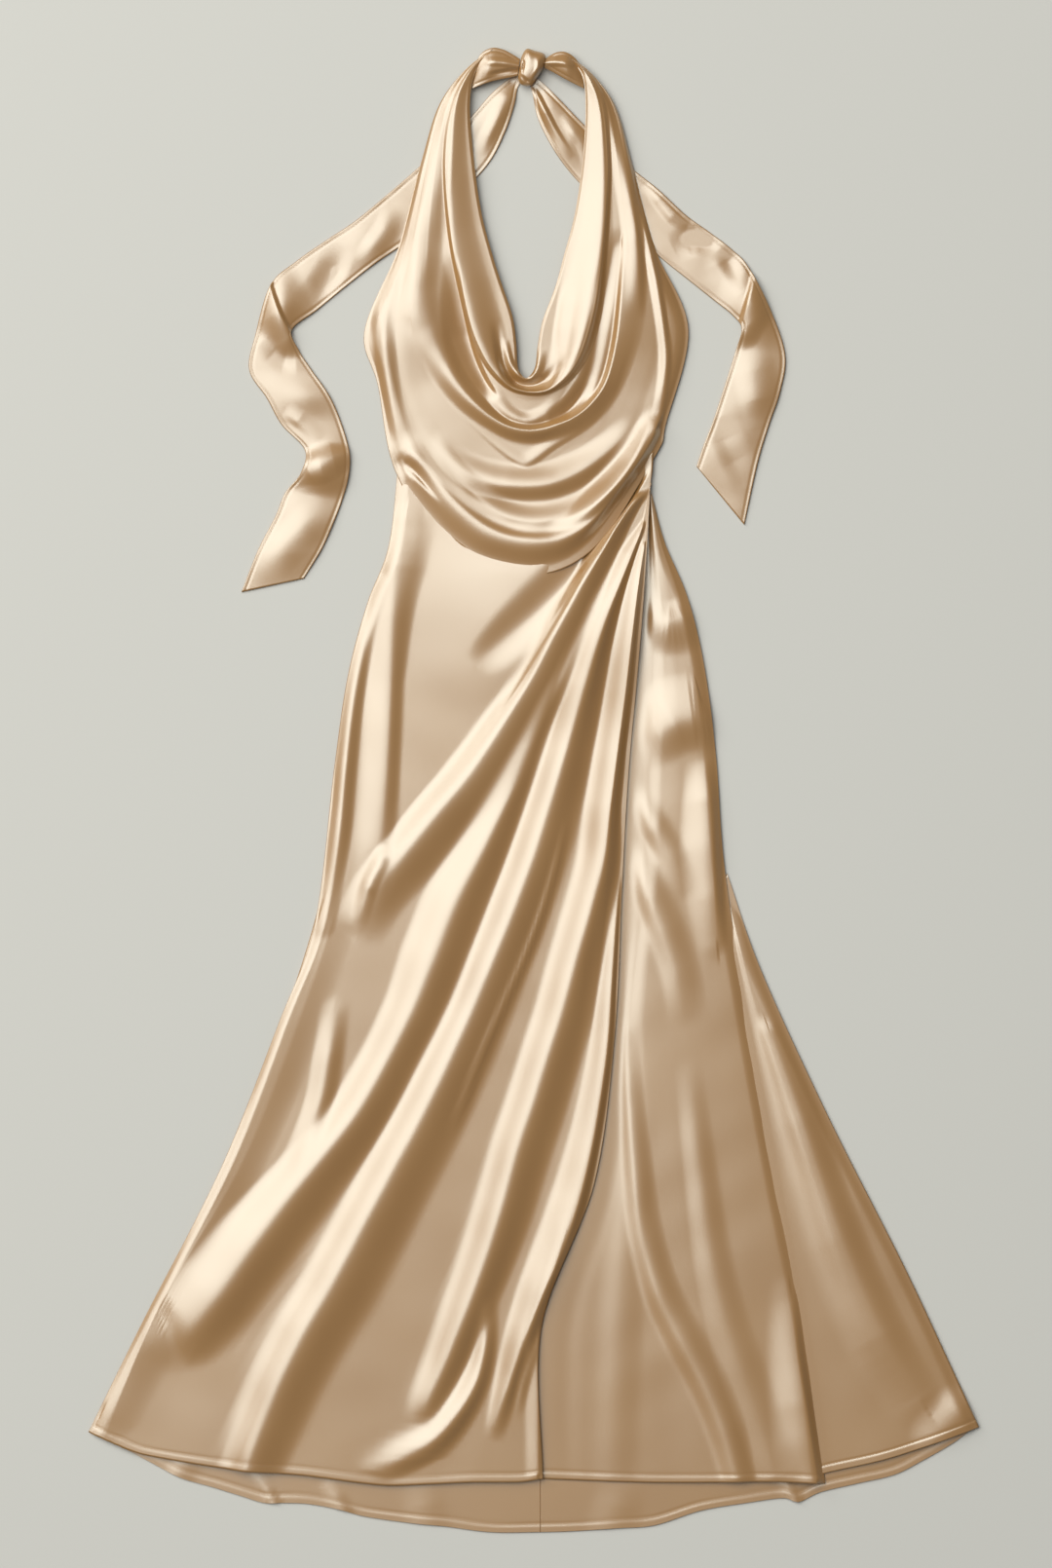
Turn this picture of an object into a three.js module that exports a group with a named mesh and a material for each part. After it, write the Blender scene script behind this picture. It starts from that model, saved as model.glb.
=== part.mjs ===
// A floor-length halter dress of satin, laid out flat on its back with its front up.
// Millimetres. +X runs to the wearer's left, +Y from hem to neck, +Z up from the surface.
import * as THREE from "three";

// Driving sizes
const DRESS_LENGTH = 1600; // from the top of the halter to the lowest point of the back hem
const CLOTH = 2.4; // upright thickness of a draped wall, about 1 to 2.4 across the cloth
const FLAT_CLOTH = 1.5; // thickness of the back and of the ties, which lie flat
const SEAM_GAP = 0.3;
const KNOT_TOP = 21;

// Places on the dress are read on a plan, in plan units: x to the right, down from the top.
// The dress covers 91 to 1005 across and 50.5 to 1573 down, and its length sets the unit.
const PLAN = { left: 91, right: 1005, top: 50.5, bottom: 1573 };
const UNIT = DRESS_LENGTH / (PLAN.bottom - PLAN.top);
const CENTRE_BACK = 555;
const toX = (x) => (x - (PLAN.left + PLAN.right) / 2) * UNIT;
const toY = (down) => ((PLAN.top + PLAN.bottom) / 2 - down) * UNIT;

// The two halter straps, at six levels from the crown down to the top of the bust.
const STRAPS = {
  right: {
    neck: { x: [506, 488, 482.5, 486.5, 494.5, 506], down: [54, 76, 110, 165, 220, 264] },
    outer: { x: [505, 475, 450, 433, 418, 406], down: [50.5, 75, 110, 165, 222, 263] },
  },
  left: {
    neck: { x: [580, 597, 601, 598, 590, 579], down: [57.5, 78, 112, 165, 220, 262] },
    outer: { x: [579, 608, 632, 648, 662, 675], down: [54.6, 77, 110, 165, 220, 262] },
  },
};
const CROWN_HEIGHT = 13;

// The cowl: folds that hang from strap to strap, from the neck edge out to the waist seam.
// top and low say how far across the strap the fold lies, at the crown and above the bust,
// and strap is its height there in mm. x, down and height then give nine places on it, from
// the wearer's right bust under the belly of the fold to the left bust.
const COWL = [
  { fold: "neck edge", top: 0, low: 0, strap: 8,
    x: [515, 526, 530, 532, 540, 549, 552, 557, 570],
    down: [292, 325, 352, 378, 389, 378, 355, 330, 295],
    height: [8, 8, 8, 8, 9, 8, 8, 8, 8] },
  { fold: "neck hollow", top: 0.14, low: 0.1, strap: 11,
    x: [505, 516, 520, 525, 541, 559, 564, 569, 580],
    down: [295, 329, 358, 386, 397, 388, 360, 333, 298],
    height: [12, 11, 10, 10, 11, 10, 11, 12, 12] },
  { fold: "roll crest", top: 0.48, low: 0.36, strap: 17,
    x: [479, 490, 503, 520, 541, 566, 583, 594, 604],
    down: [296, 338, 366, 390, 403, 396, 370, 345, 302],
    height: [18, 18, 18, 18, 19, 18, 18, 18, 18] },
  { fold: "roll foot", top: 0.6, low: 0.43, strap: 8,
    x: [470, 480, 493, 513, 542, 569, 589, 602, 613],
    down: [298, 339, 371, 399, 413, 404, 376, 342, 303],
    height: [8, 8, 8, 8, 8, 8, 7, 7, 7] },
  { fold: "second crest", top: 0.66, low: 0.52, strap: 9,
    x: [462, 473, 494, 516, 541, 563, 581, 603, 618],
    down: [302, 345, 385, 418, 435, 427, 402, 368, 318],
    height: [8, 8, 9, 13, 14, 12, 8, 6, 7] },
  { fold: "second foot", top: 0.7, low: 0.57, strap: 9,
    x: [455, 466, 487, 511, 541, 569, 593, 610, 623],
    down: [304, 349, 393, 425, 440, 431, 404, 370, 322],
    height: [9, 9, 9, 11, 12, 8, 6, 6, 8] },
  { fold: "third crest", top: 0.76, low: 0.66, strap: 10,
    x: [440, 451, 474, 502, 543, 587, 613, 626, 632],
    down: [308, 350, 390, 426, 447, 431, 402, 368, 326],
    height: [14, 16, 18, 20, 20, 20, 19, 18, 16] },
  { fold: "third valley", top: 0.8, low: 0.7, strap: 9,
    x: [431, 440, 462, 497, 541, 592, 622, 639, 648],
    down: [312, 370, 408, 444, 474, 446, 411, 374, 330],
    height: [13, 9, 9, 9, 10, 8, 9, 11, 13] },
  { fold: "fourth crest", top: 0.83, low: 0.74, strap: 9,
    x: [425, 433, 456, 499, 541, 582, 615, 640, 656],
    down: [316, 377, 423, 466, 482, 467, 440, 384, 334],
    height: [14, 10, 12, 13, 14, 13, 11, 12, 13] },
  { fold: "fifth crest", top: 0.86, low: 0.79, strap: 9,
    x: [418, 427, 452, 495, 541, 585, 622, 648, 663],
    down: [320, 383, 438, 481, 495, 482, 454, 394, 336],
    height: [15, 13, 15, 17, 18, 17, 15, 14, 14] },
  { fold: "fifth valley", top: 0.89, low: 0.83, strap: 9,
    x: [412, 419, 444, 489, 541, 590, 630, 657, 671],
    down: [325, 387, 452, 497, 511, 495, 460, 402, 338],
    height: [14, 13, 11, 9, 9, 9, 9, 10, 10] },
  { fold: "sixth crest", top: 0.92, low: 0.87, strap: 9,
    x: [406, 411, 436, 484, 541, 594, 638, 665, 679],
    down: [330, 389, 460, 509, 533, 514, 467, 409, 339],
    height: [15, 15, 16, 18, 19, 18, 17, 14, 12] },
  { fold: "sixth valley", top: 0.95, low: 0.92, strap: 8,
    x: [398, 405, 428, 478, 541, 599, 646, 671, 687],
    down: [333, 391, 466, 522, 549, 529, 473, 416, 340],
    height: [9, 9, 9, 9, 10, 10, 9, 9, 9] },
  { fold: "seventh crest", top: 0.975, low: 0.96, strap: 7,
    x: [388, 398, 419, 470, 541, 604, 656, 678, 697],
    down: [337, 393, 473, 534, 564, 543, 475, 423, 340],
    height: [8, 9, 13, 17, 18, 18, 15, 10, 8] },
  { fold: "side and waist edge", top: 1, low: 1, strap: 4.5,
    x: [374, 388, 408, 462, 536, 604, 671, 684, 706.7],
    down: [341, 396, 481, 558, 584, 558, 466, 434, 339],
    height: [4.5, 4.5, 7.6, 9, 9, 8.5, 8, 4.5, 4.5] },
];

// The wrap skirt: folds that fan out from the pleats in the left side seam, and the loose
// cloth along the right side. Ten places on each, from the waist seam down to the hem.
const WRAP_SKIRT = [
  { fold: "right side edge",
    x: [409, 399, 377, 357, 343, 323, 286, 227, 149, 91],
    down: [476, 561, 620, 695, 790, 950, 1051, 1199, 1352, 1470],
    height: [4.3, 4.3, 4.3, 4.3, 4.3, 4.3, 4.3, 4.3, 4.3, 4.5] },
  { fold: "right side roll",
    x: [415, 408, 387, 367, 353, 331, 295, 236, 154, 98],
    down: [476, 562, 622, 698, 793, 947, 1046, 1196, 1350, 1473.5],
    height: [4.3, 8, 10, 10, 10, 9, 8, 8, 7, 7] },
  { fold: "hip valley",
    x: [423, 418, 399, 378, 365, 338, 304, 244, 158, 103],
    down: [488, 565, 626, 703, 799, 943, 1041, 1193, 1348, 1475.5],
    height: [4.3, 8, 7, 6, 6, 8, 9, 9, 8, 8] },
  { fold: "hip ridge",
    x: [434, 428, 413, 395, 383, 345, 313, 252, 162, 107],
    down: [507, 569, 631, 710, 806, 938, 1036, 1190, 1346, 1477.5],
    height: [4.3, 9, 9, 9, 9, 9, 9, 9, 9, 9] },
  { fold: "thigh valley",
    x: [448, 439, 426, 412, 401, 352, 321, 260, 166, 110],
    down: [527, 578, 640, 720, 812, 932, 1031, 1187, 1344, 1479],
    height: [4.3, 7, 6, 6, 6, 9, 10, 10, 9, 9] },
  { fold: "belly swell",
    x: [480, 474, 464, 443, 418, 362, 329, 268, 170, 113],
    down: [562, 612, 668, 738, 808, 920, 1025, 1183, 1342, 1480],
    height: [4.3, 9, 11, 12, 12, 10, 10, 11, 10, 9] },
  { fold: "belly slope",
    x: [545, 538, 510, 466, 434, 376, 337, 275, 173, 115],
    down: [574, 606, 650, 722, 798, 904, 1019, 1179, 1340, 1481],
    height: [4.3, 8, 9, 10, 11, 10, 11, 11, 10, 9] },
  { fold: "waist valley",
    x: [671, 614, 556, 492, 450, 392, 345, 282, 176, 117],
    down: [463, 556, 618, 690, 784, 884, 1011, 1174, 1338, 1482],
    height: [4.5, 5, 5, 7, 8, 10, 11, 11, 10, 9] },
  { fold: "first pleat",
    x: [669.5, 638, 597, 552, 480, 418, 356, 289, 179, 119],
    down: [485, 534, 594, 670, 778, 858, 1002, 1168, 1336, 1483],
    height: [8, 14, 17, 19, 18, 15, 12, 11, 10, 9] },
  { fold: "first foot",
    x: [668.5, 647, 609, 572, 504, 452, 379, 303, 183, 122],
    down: [491, 546, 606, 670, 775, 856, 1003, 1160, 1334, 1484],
    height: [7.5, 7, 6, 6, 6, 6, 7, 8, 10, 9] },
  { fold: "second pleat",
    x: [668, 651, 618, 587, 538, 488, 410, 333, 189, 126],
    down: [494, 551, 613, 677, 772, 862, 1000, 1167, 1334, 1486],
    height: [7.5, 9, 10, 11, 13, 15, 16, 17, 13, 10] },
  { fold: "second foot",
    x: [668, 653, 625, 601, 564, 522, 466, 384, 218, 143],
    down: [496, 554, 618, 685, 776, 872, 1008, 1172, 1366, 1492],
    height: [7.5, 6, 6, 6, 6, 6, 6, 6, 7, 7] },
  { fold: "third pleat",
    x: [667.5, 655, 632, 611, 577, 538, 488, 408, 320, 251],
    down: [498, 557, 622, 693, 786, 896, 1040, 1208, 1350, 1510],
    height: [7.5, 10, 12, 14, 17, 19, 20, 20, 19, 14] },
  { fold: "third foot",
    x: [667.5, 657, 637, 618, 590, 560, 528, 458, 366, 305],
    down: [499.5, 559, 624, 696, 788, 900, 1050, 1205, 1358, 1514],
    height: [7.5, 7, 6, 6, 6, 6, 6, 6, 6, 7] },
  { fold: "fourth pleat",
    x: [667, 659, 643, 630, 613, 595, 562, 518, 458, 400],
    down: [501, 561, 626, 699, 791, 905, 1058, 1207, 1354, 1525],
    height: [7.5, 10, 12, 14, 16, 17, 18, 18, 16, 12] },
  { fold: "fourth foot",
    x: [667, 660, 648, 638, 625, 612, 593, 560, 505, 442],
    down: [502.5, 563, 628, 701, 793, 908, 1060, 1209, 1358, 1523.5],
    height: [7.5, 8.5, 9, 10, 11, 11, 10, 9, 8, 7.5] },
  { fold: "edge pleat",
    x: [667, 661, 652, 644, 633, 623, 608, 585, 530, 490],
    down: [504, 565, 630, 703, 794, 910, 1061, 1211, 1360, 1521.5],
    height: [7.5, 10, 12, 13, 14, 15, 15, 15, 13, 11] },
  { fold: "inside of the wrap edge",
    x: [667, 662.5, 656, 649, 640, 631, 621, 598, 544, 528],
    down: [505.5, 567, 632, 705, 795, 912, 1062, 1213, 1361, 1521.5],
    height: [7.5, 9, 10.5, 11.5, 11, 11, 11, 11, 10, 9] },
  { fold: "wrap edge",
    x: [667, 663.5, 659, 653, 645, 638.5, 631, 610, 556, 557.5],
    down: [507, 569, 634, 707, 796, 913, 1063, 1215, 1362, 1518],
    height: [7.5, 8, 9, 9.5, 9.5, 9.5, 9.5, 9.5, 8, 7.5] },
];

// The under-skirt, from the margin hidden below the wrap to the left side.
const UNDER_SKIRT = [
  { fold: "margin under the wrap",
    x: [664, 654, 646, 638, 628, 617, 602, 575, 530, 522],
    down: [514, 573, 640, 712, 800, 914, 1064, 1216, 1366, 1517],
    height: [4.3, 4.3, 4.3, 4.3, 4.3, 4.3, 4.3, 4.3, 4.3, 4.3] },
  { fold: "line of the wrap edge",
    x: [665.5, 665, 662, 656, 649, 643, 636, 618, 562, 562],
    down: [513, 571, 636, 708, 798, 912, 1062, 1218, 1364, 1518.5],
    height: [4.3, 4.3, 4.3, 4.3, 4.3, 4.3, 4.3, 4.3, 4.3, 4.3] },
  { fold: "knee valley",
    x: [666.5, 669, 671, 669, 666, 660, 646, 648, 660, 680],
    down: [512, 568, 632, 705, 795, 909, 1058, 1235, 1378, 1522],
    height: [4.3, 5, 6, 7, 7, 7, 5, 5, 5, 6] },
  { fold: "knee ridge",
    x: [667, 673, 680, 682, 680, 676, 662, 677, 712, 752],
    down: [511, 565, 629, 702, 792, 905, 1052, 1238, 1376, 1521.5],
    height: [4.3, 7, 9, 9, 10, 9, 9, 11, 11, 9] },
  { fold: "shin valley",
    x: [667.5, 676.5, 690, 695, 698, 701, 692, 706, 736, 776],
    down: [510, 562, 625, 699, 788, 902, 1048, 1236, 1374, 1521],
    height: [4.3, 7, 8, 8, 8, 7, 6, 6, 6, 7] },
  { fold: "shin ridge",
    x: [668, 679, 698, 708, 715, 721, 722, 733, 762, 798],
    down: [509, 560, 621, 694, 783, 899, 1046, 1232, 1372, 1521],
    height: [4.3, 8, 10, 11, 11, 11, 10, 10, 10, 9] },
  { fold: "left side roll",
    x: [668.5, 680, 702, 717, 729, 736, 756, 785, 811, 836],
    down: [508, 558, 617, 688, 778, 895, 1044, 1224, 1368, 1522.5],
    height: [4.3, 7, 9, 9, 9, 10, 12, 13, 13, 11] },
  { fold: "left side edge",
    x: [669, 682, 706, 723, 735, 744, 768, 799, 828, 847],
    down: [507, 556, 614, 684, 776, 892, 1044, 1218, 1364, 1523],
    height: [4.3, 4.3, 4.3, 4.3, 4.6, 7.2, 7.6, 7.6, 7.6, 7.6] },
];

// The godet let into the left side below the knee.
const GODET = [
  { fold: "margin under the skirt",
    x: [739, 747, 775, 801, 820, 833],
    down: [906, 1000, 1150, 1300, 1400, 1516],
    height: [4.3, 4.3, 4.3, 4.3, 4.3, 4.3] },
  { fold: "line of the skirt edge",
    x: [742, 760, 789, 817, 836, 852],
    down: [903, 1000, 1150, 1300, 1400, 1511],
    height: [4.3, 4.3, 4.3, 4.3, 4.3, 4.3] },
  { fold: "middle ridge",
    x: [745, 767, 812, 858, 888, 905],
    down: [902, 1000, 1150, 1300, 1400, 1499],
    height: [4.3, 7, 9, 9, 9, 8] },
  { fold: "outer valley",
    x: [748, 774, 833, 897, 935, 958],
    down: [901, 999, 1149, 1299, 1400, 1482],
    height: [4.3, 6, 6, 6, 6, 6] },
  { fold: "outer edge",
    x: [750, 782, 851, 927, 975, 1005],
    down: [900, 998, 1148, 1298, 1400, 1465],
    height: [4.3, 4.3, 4.3, 4.3, 4.3, 4.3] },
];

// The back, which lies flat under the front and shows below its hem. Its low top edge runs
// from the centre back up to the underarm. Each half ends at the centre back seam.
const BACK = {
  right: {
    x: [555, 500, 440, 400, 381, 391, 409, 411, 402, 380, 360, 346, 332, 289, 230, 152, 95,
      126, 156, 185, 219, 271, 316, 375, 456, 555],
    down: [470, 458, 425, 385, 352, 392, 478, 515, 561, 620, 695, 790, 910, 1051, 1199, 1352, 1469,
      1486, 1502, 1517, 1527, 1543, 1543.5, 1557, 1567, 1573],
  },
  left: {
    x: [555, 610, 650, 680, 699, 690, 681, 669, 665, 677, 702, 720, 732, 741, 778, 847, 923, 971, 1001,
      979, 946, 880, 820, 766, 672, 587, 555],
    down: [470, 458, 425, 385, 352, 392, 434, 470, 510, 556, 614, 684, 776, 892, 1000, 1148, 1298,
      1400, 1464, 1481, 1500, 1523, 1541, 1543, 1566, 1572, 1573],
  },
};

// Ribbons: a row of places on each of the two long edges, and the height between them.
const TIE_RIGHT = {
  a: { x: [538, 524, 505, 485, 462, 432, 400, 365, 338, 305, 278, 262, 256, 274, 289, 313, 309, 293,
    283, 265, 248],
  down: [70, 80, 96, 119, 142, 170, 198, 227, 245, 268, 293, 345, 380, 409, 436, 462, 486, 506,
    530, 565, 608] },
  b: { x: [541, 532, 528, 518, 500, 462, 425, 385, 353, 325, 300, 307, 320, 338, 350, 359, 358, 351,
    341, 330, 312],
  down: [79, 89, 108, 137, 170, 210, 243, 271, 296, 319, 339, 360, 380, 406, 433, 465, 490, 515,
    541, 565, 594] },
  height: [1.5, 1.5, 5, 4, 1.5, 1.5, 1.5, 4, 3, 4, 9, 5, 4, 6, 4, 6, 9, 4, 5, 5, 2],
};
const TIE_LEFT = {
  a: { x: [548, 560, 576, 598, 622, 651, 676, 704, 729, 752, 768, 790, 806, 801, 790, 778, 764],
    down: [78, 88, 104, 127, 150, 175, 195, 221, 239, 257, 274, 316, 364, 402, 435, 475, 539] },
  b: { x: [543.5, 547, 553, 571, 594, 626, 655, 681, 706, 731, 752, 761, 755, 742, 731, 722, 715],
    down: [85, 98, 124, 158, 187, 218, 243, 267, 287, 307, 324, 338, 361, 402, 435, 458, 479] },
  height: [1.5, 1.5, 5, 4, 1.5, 1.5, 1.5, 2, 3, 4, 7, 8, 4, 5, 4, 4, 2],
};
const NECK_BAND_RIGHT = {
  a: { x: [488, 498, 511, 522, 532.8], down: [67, 60.5, 59, 63.5, 70] },
  b: { x: [484.5, 498, 513, 522, 531.5], down: [92, 90, 84, 82, 79] },
  height: [7.6, 8.2, 10, 11, 12],
};
const NECK_BAND_LEFT = {
  a: { x: [595, 586, 575, 568, 560.7], down: [69, 62.5, 60, 62, 64.5] },
  b: { x: [599.5, 587, 575, 568, 558.9], down: [92, 87, 79.5, 75, 71] },
  height: [7.6, 8.2, 10, 11, 12],
};

const KNOT_OUTLINE = {
  x: [541, 549, 559, 560, 557, 552, 545, 537, 532, 532.5, 534, 536],
  down: [51.5, 53.5, 57, 64, 72, 80, 89, 89, 84, 76, 67, 58],
};

// Slope of a smooth curve through values, at one of them.
function smoothSlope(values, i) {
  const last = values.length - 1;
  return (values[Math.min(i + 1, last)] - values[Math.max(i - 1, 0)]) / (i > 0 && i < last ? 2 : 1);
}

// Slope of a curve that never passes its values: level at each crest and foot.
function levelSlope(values, i) {
  const last = values.length - 1;
  const before = values[Math.max(i, 1)] - values[Math.max(i, 1) - 1];
  const after = values[Math.min(i, last - 1) + 1] - values[Math.min(i, last - 1)];
  return before * after > 0 ? (2 * before * after) / (before + after) : 0;
}

// Slope of such a curve that also starts and ends level, as a fold does at a seam.
function seamSlope(values, i) {
  return i > 0 && i < values.length - 1 ? levelSlope(values, i) : 0;
}

// Cubic through values spaced one apart, at place u, with the given kind of slope.
function through(values, u, slope) {
  const i = Math.min(Math.floor(u), values.length - 2);
  const f = u - i;
  const m0 = slope(values, i);
  const m1 = slope(values, i + 1);
  const rise = values[i + 1] - values[i];
  return values[i] + f * (m0 + f * (3 * rise - 2 * m0 - m1 + f * (m0 + m1 - 2 * rise)));
}

// A grid of points over a table of folds: smooth along each fold, and level over each crest
// and foot from fold to fold. steps gives the cells between two folds and between two places.
function drape(folds, steps) {
  const places = folds[0].x.length;
  const along = folds.map((fold) =>
    Array.from({ length: (places - 1) * steps.along + 1 }, (_, j) => [
      through(fold.x, j / steps.along, smoothSlope),
      through(fold.down, j / steps.along, smoothSlope),
      through(fold.height, j / steps.along, seamSlope),
    ]),
  );
  const grid = [];
  for (let i = 0; i <= (folds.length - 1) * steps.across; i++) {
    grid.push(
      along[0].map((_, j) => {
        const at = (k) => through(along.map((row) => row[j][k]), i / steps.across, levelSlope);
        return [toX(at(0)), toY(at(1)), at(2)];
      }),
    );
  }
  return grid;
}

// A grid of points over a ribbon: its two edges lie low and its middle is as high as it says.
function ribbon({ a, b, height }, rows, steps) {
  const lowest = Math.min(...height);
  const count = (height.length - 1) * steps + 1;
  return Array.from({ length: rows + 1 }, (_, i) =>
    Array.from({ length: count }, (_, j) => {
      const u = j / steps;
      const across = i / rows;
      const mix = (key) =>
        through(a[key], u, smoothSlope) * (1 - across) + through(b[key], u, smoothSlope) * across;
      const rise = through(height, u, levelSlope) - lowest;
      return [toX(mix("x")), toY(mix("down")), lowest + rise * (0.4 + 0.6 * Math.sin(Math.PI * across))];
    }),
  );
}

// Triangles as a closed geometry.
function closedGeometry(points, faces) {
  const geometry = new THREE.BufferGeometry();
  geometry.setAttribute("position", new THREE.Float32BufferAttribute(points.flat(), 3));
  geometry.setIndex(faces.flat());
  geometry.computeVertexNormals();
  return geometry;
}

// A cloth wall: the grid is its upper face, the lower face lies straight below it, and four
// narrow strips close the edges.
function clothWall(grid, thickness) {
  const rows = grid.length;
  const columns = grid[0].length;
  const upper = grid.flat();
  const lower = upper.map(([x, y, z]) => [x, y, z - thickness]);
  const at = (i, j) => i * columns + j;
  // Twice the plan area of a corner of each cell, signed by the way round that the grid runs.
  let turn = 0;
  for (let i = 0; i + 1 < rows; i++) {
    for (let j = 0; j + 1 < columns; j++) {
      const [p, q, r] = [upper[at(i, j)], upper[at(i, j + 1)], upper[at(i + 1, j)]];
      turn += (q[0] - p[0]) * (r[1] - p[1]) - (q[1] - p[1]) * (r[0] - p[0]);
    }
  }
  const faces = [];
  const addCell = (p, q, r, s) => {
    if (turn > 0) faces.push([p, q, r], [p, r, s]);
    else faces.push([p, r, q], [p, s, r]);
  };
  const under = upper.length;
  for (let i = 0; i + 1 < rows; i++) {
    for (let j = 0; j + 1 < columns; j++) {
      const corners = [at(i, j), at(i, j + 1), at(i + 1, j + 1), at(i + 1, j)];
      addCell(...corners);
      addCell(...corners.map((corner) => corner + under).reverse());
    }
  }
  const border = [];
  for (let j = 0; j + 1 < columns; j++) border.push(at(0, j));
  for (let i = 0; i + 1 < rows; i++) border.push(at(i, columns - 1));
  for (let j = columns - 1; j > 0; j--) border.push(at(rows - 1, j));
  for (let i = rows - 1; i > 0; i--) border.push(at(i, 0));
  border.forEach((corner, k) => {
    const next = border[(k + 1) % border.length];
    addCell(corner, corner + under, next + under, next);
  });
  return closedGeometry([...upper, ...lower], faces);
}

// The bodice's folds with their places on the two straps put before and after those of the cowl.
function bodiceFolds() {
  const levels = STRAPS.right.neck.x.length;
  const onStrap = (strap, fold, key) =>
    strap.neck[key].map((value, i) => {
      const share = THREE.MathUtils.lerp(fold.top, fold.low, i / (levels - 1));
      return THREE.MathUtils.lerp(value, strap.outer[key][i], share);
    });
  return COWL.map((fold) => {
    const heights = Array.from({ length: levels }, (_, i) =>
      THREE.MathUtils.lerp(CROWN_HEIGHT, fold.strap, Math.min(1, i / 3)),
    );
    const whole = (key) => [
      ...onStrap(STRAPS.right, fold, key),
      ...fold[key],
      ...onStrap(STRAPS.left, fold, key).reverse(),
    ];
    return {
      x: whole("x"),
      down: whole("down"),
      height: [...heights, ...fold.height, ...heights.toReversed()],
    };
  });
}

// A half of the back: a flat plate, cut just short of the centre back line.
function backPanel(outline, side) {
  const points = outline.x.map((x, i) => {
    const seam = x === CENTRE_BACK ? (side * SEAM_GAP) / 2 : 0;
    return new THREE.Vector2(toX(x) + seam, toY(outline.down[i]));
  });
  return new THREE.ExtrudeGeometry(new THREE.Shape(points), { depth: FLAT_CLOTH, bevelEnabled: false });
}

// The knot: rings of its outline, which swell and shrink as a flattened ball does.
function knot(rings, sides) {
  const loop = (values, u) => {
    const wrapped = [...values.slice(-2), ...values, ...values.slice(0, 2)];
    return through(wrapped, 2 + u * values.length, smoothSlope);
  };
  const low = FLAT_CLOTH + SEAM_GAP;
  const middle = [toX(546), toY(70.5)];
  const points = [[...middle, low]];
  for (let i = 1; i < rings; i++) {
    const angle = (Math.PI * i) / rings;
    const size = Math.sin(angle) ** 0.7;
    for (let j = 0; j < sides; j++) {
      points.push([
        middle[0] + (toX(loop(KNOT_OUTLINE.x, j / sides)) - middle[0]) * size,
        middle[1] + (toY(loop(KNOT_OUTLINE.down, j / sides)) - middle[1]) * size,
        low + ((KNOT_TOP - low) * (1 - Math.cos(angle))) / 2,
      ]);
    }
  }
  points.push([...middle, KNOT_TOP]);
  const faces = [];
  for (let j = 0; j < sides; j++) {
    const next = (j + 1) % sides;
    faces.push([0, 1 + j, 1 + next]);
    for (let i = 0; i + 2 < rings; i++) {
      const [p, q] = [1 + i * sides + j, 1 + i * sides + next];
      faces.push([p, p + sides, q], [q, p + sides, q + sides]);
    }
    const ring = 1 + (rings - 2) * sides;
    faces.push([points.length - 1, ring + next, ring + j]);
  }
  return closedGeometry(points, faces);
}

const PIECES = {
  front_bodice: clothWall(drape(bodiceFolds(), { across: 2, along: 2 }), CLOTH),
  front_wrap_skirt: clothWall(drape(WRAP_SKIRT, { across: 2, along: 3 }), CLOTH),
  front_under_skirt: clothWall(drape(UNDER_SKIRT, { across: 2, along: 2 }), CLOTH),
  side_godet: clothWall(drape(GODET, { across: 2, along: 2 }), CLOTH),
  back_right: backPanel(BACK.right, -1),
  back_left: backPanel(BACK.left, 1),
  neck_band_right: clothWall(ribbon(NECK_BAND_RIGHT, 4, 2), CLOTH),
  neck_band_left: clothWall(ribbon(NECK_BAND_LEFT, 4, 2), CLOTH),
  neck_knot: knot(8, 24),
  tie_right: clothWall(ribbon(TIE_RIGHT, 4, 2), FLAT_CLOTH),
  tie_left: clothWall(ribbon(TIE_LEFT, 4, 2), FLAT_CLOTH),
};

const dress = new THREE.Group();
for (const [name, geometry] of Object.entries(PIECES)) {
  const satin = new THREE.MeshStandardMaterial({ color: "#d8be97", roughness: 0.34, metalness: 0 });
  const piece = new THREE.Mesh(geometry, satin);
  piece.name = name;
  dress.add(piece);
}

export default dress;
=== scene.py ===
# %% [markdown]
# # A satin halter dress, laid out flat
#
# The dress lies on its back on a plain surface and is seen from straight above. The packed
# model gives its frame: metres, +X to the wearer's left, +Y from hem to neck, +Z up.
# Every panel is one cloth surface worked out with numpy from a short table of its folds.

import bmesh
import bpy
import numpy as np
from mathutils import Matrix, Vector


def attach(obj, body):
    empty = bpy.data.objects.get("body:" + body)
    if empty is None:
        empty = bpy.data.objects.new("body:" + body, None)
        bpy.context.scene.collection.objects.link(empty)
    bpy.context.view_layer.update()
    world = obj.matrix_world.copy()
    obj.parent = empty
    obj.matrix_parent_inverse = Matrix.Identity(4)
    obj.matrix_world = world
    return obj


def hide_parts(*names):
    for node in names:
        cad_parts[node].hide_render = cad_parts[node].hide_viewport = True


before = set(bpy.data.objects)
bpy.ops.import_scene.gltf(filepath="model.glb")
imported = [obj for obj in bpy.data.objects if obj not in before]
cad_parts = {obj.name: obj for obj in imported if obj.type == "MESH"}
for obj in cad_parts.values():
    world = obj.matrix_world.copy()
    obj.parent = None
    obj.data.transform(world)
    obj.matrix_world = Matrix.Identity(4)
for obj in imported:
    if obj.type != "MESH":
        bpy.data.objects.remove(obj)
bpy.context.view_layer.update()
print("nodes:", sorted(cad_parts))

# %% [markdown]
# ## The plan
#
# Places on the dress are read on a plan, as a pattern cutter would mark them: x to the right
# and down from the top, in plan units. The length of the dress, 1.6 m, sets the unit. Heights
# above the surface are in millimetres, because the folds of a laid-out dress are that small.

# %% Plan units to metres
MM = 0.001
DRESS_LENGTH = 1.6
PLAN = dict(left=91.0, right=1005.0, top=50.5, bottom=1573.0)
UNIT = DRESS_LENGTH / (PLAN["bottom"] - PLAN["top"])


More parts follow.
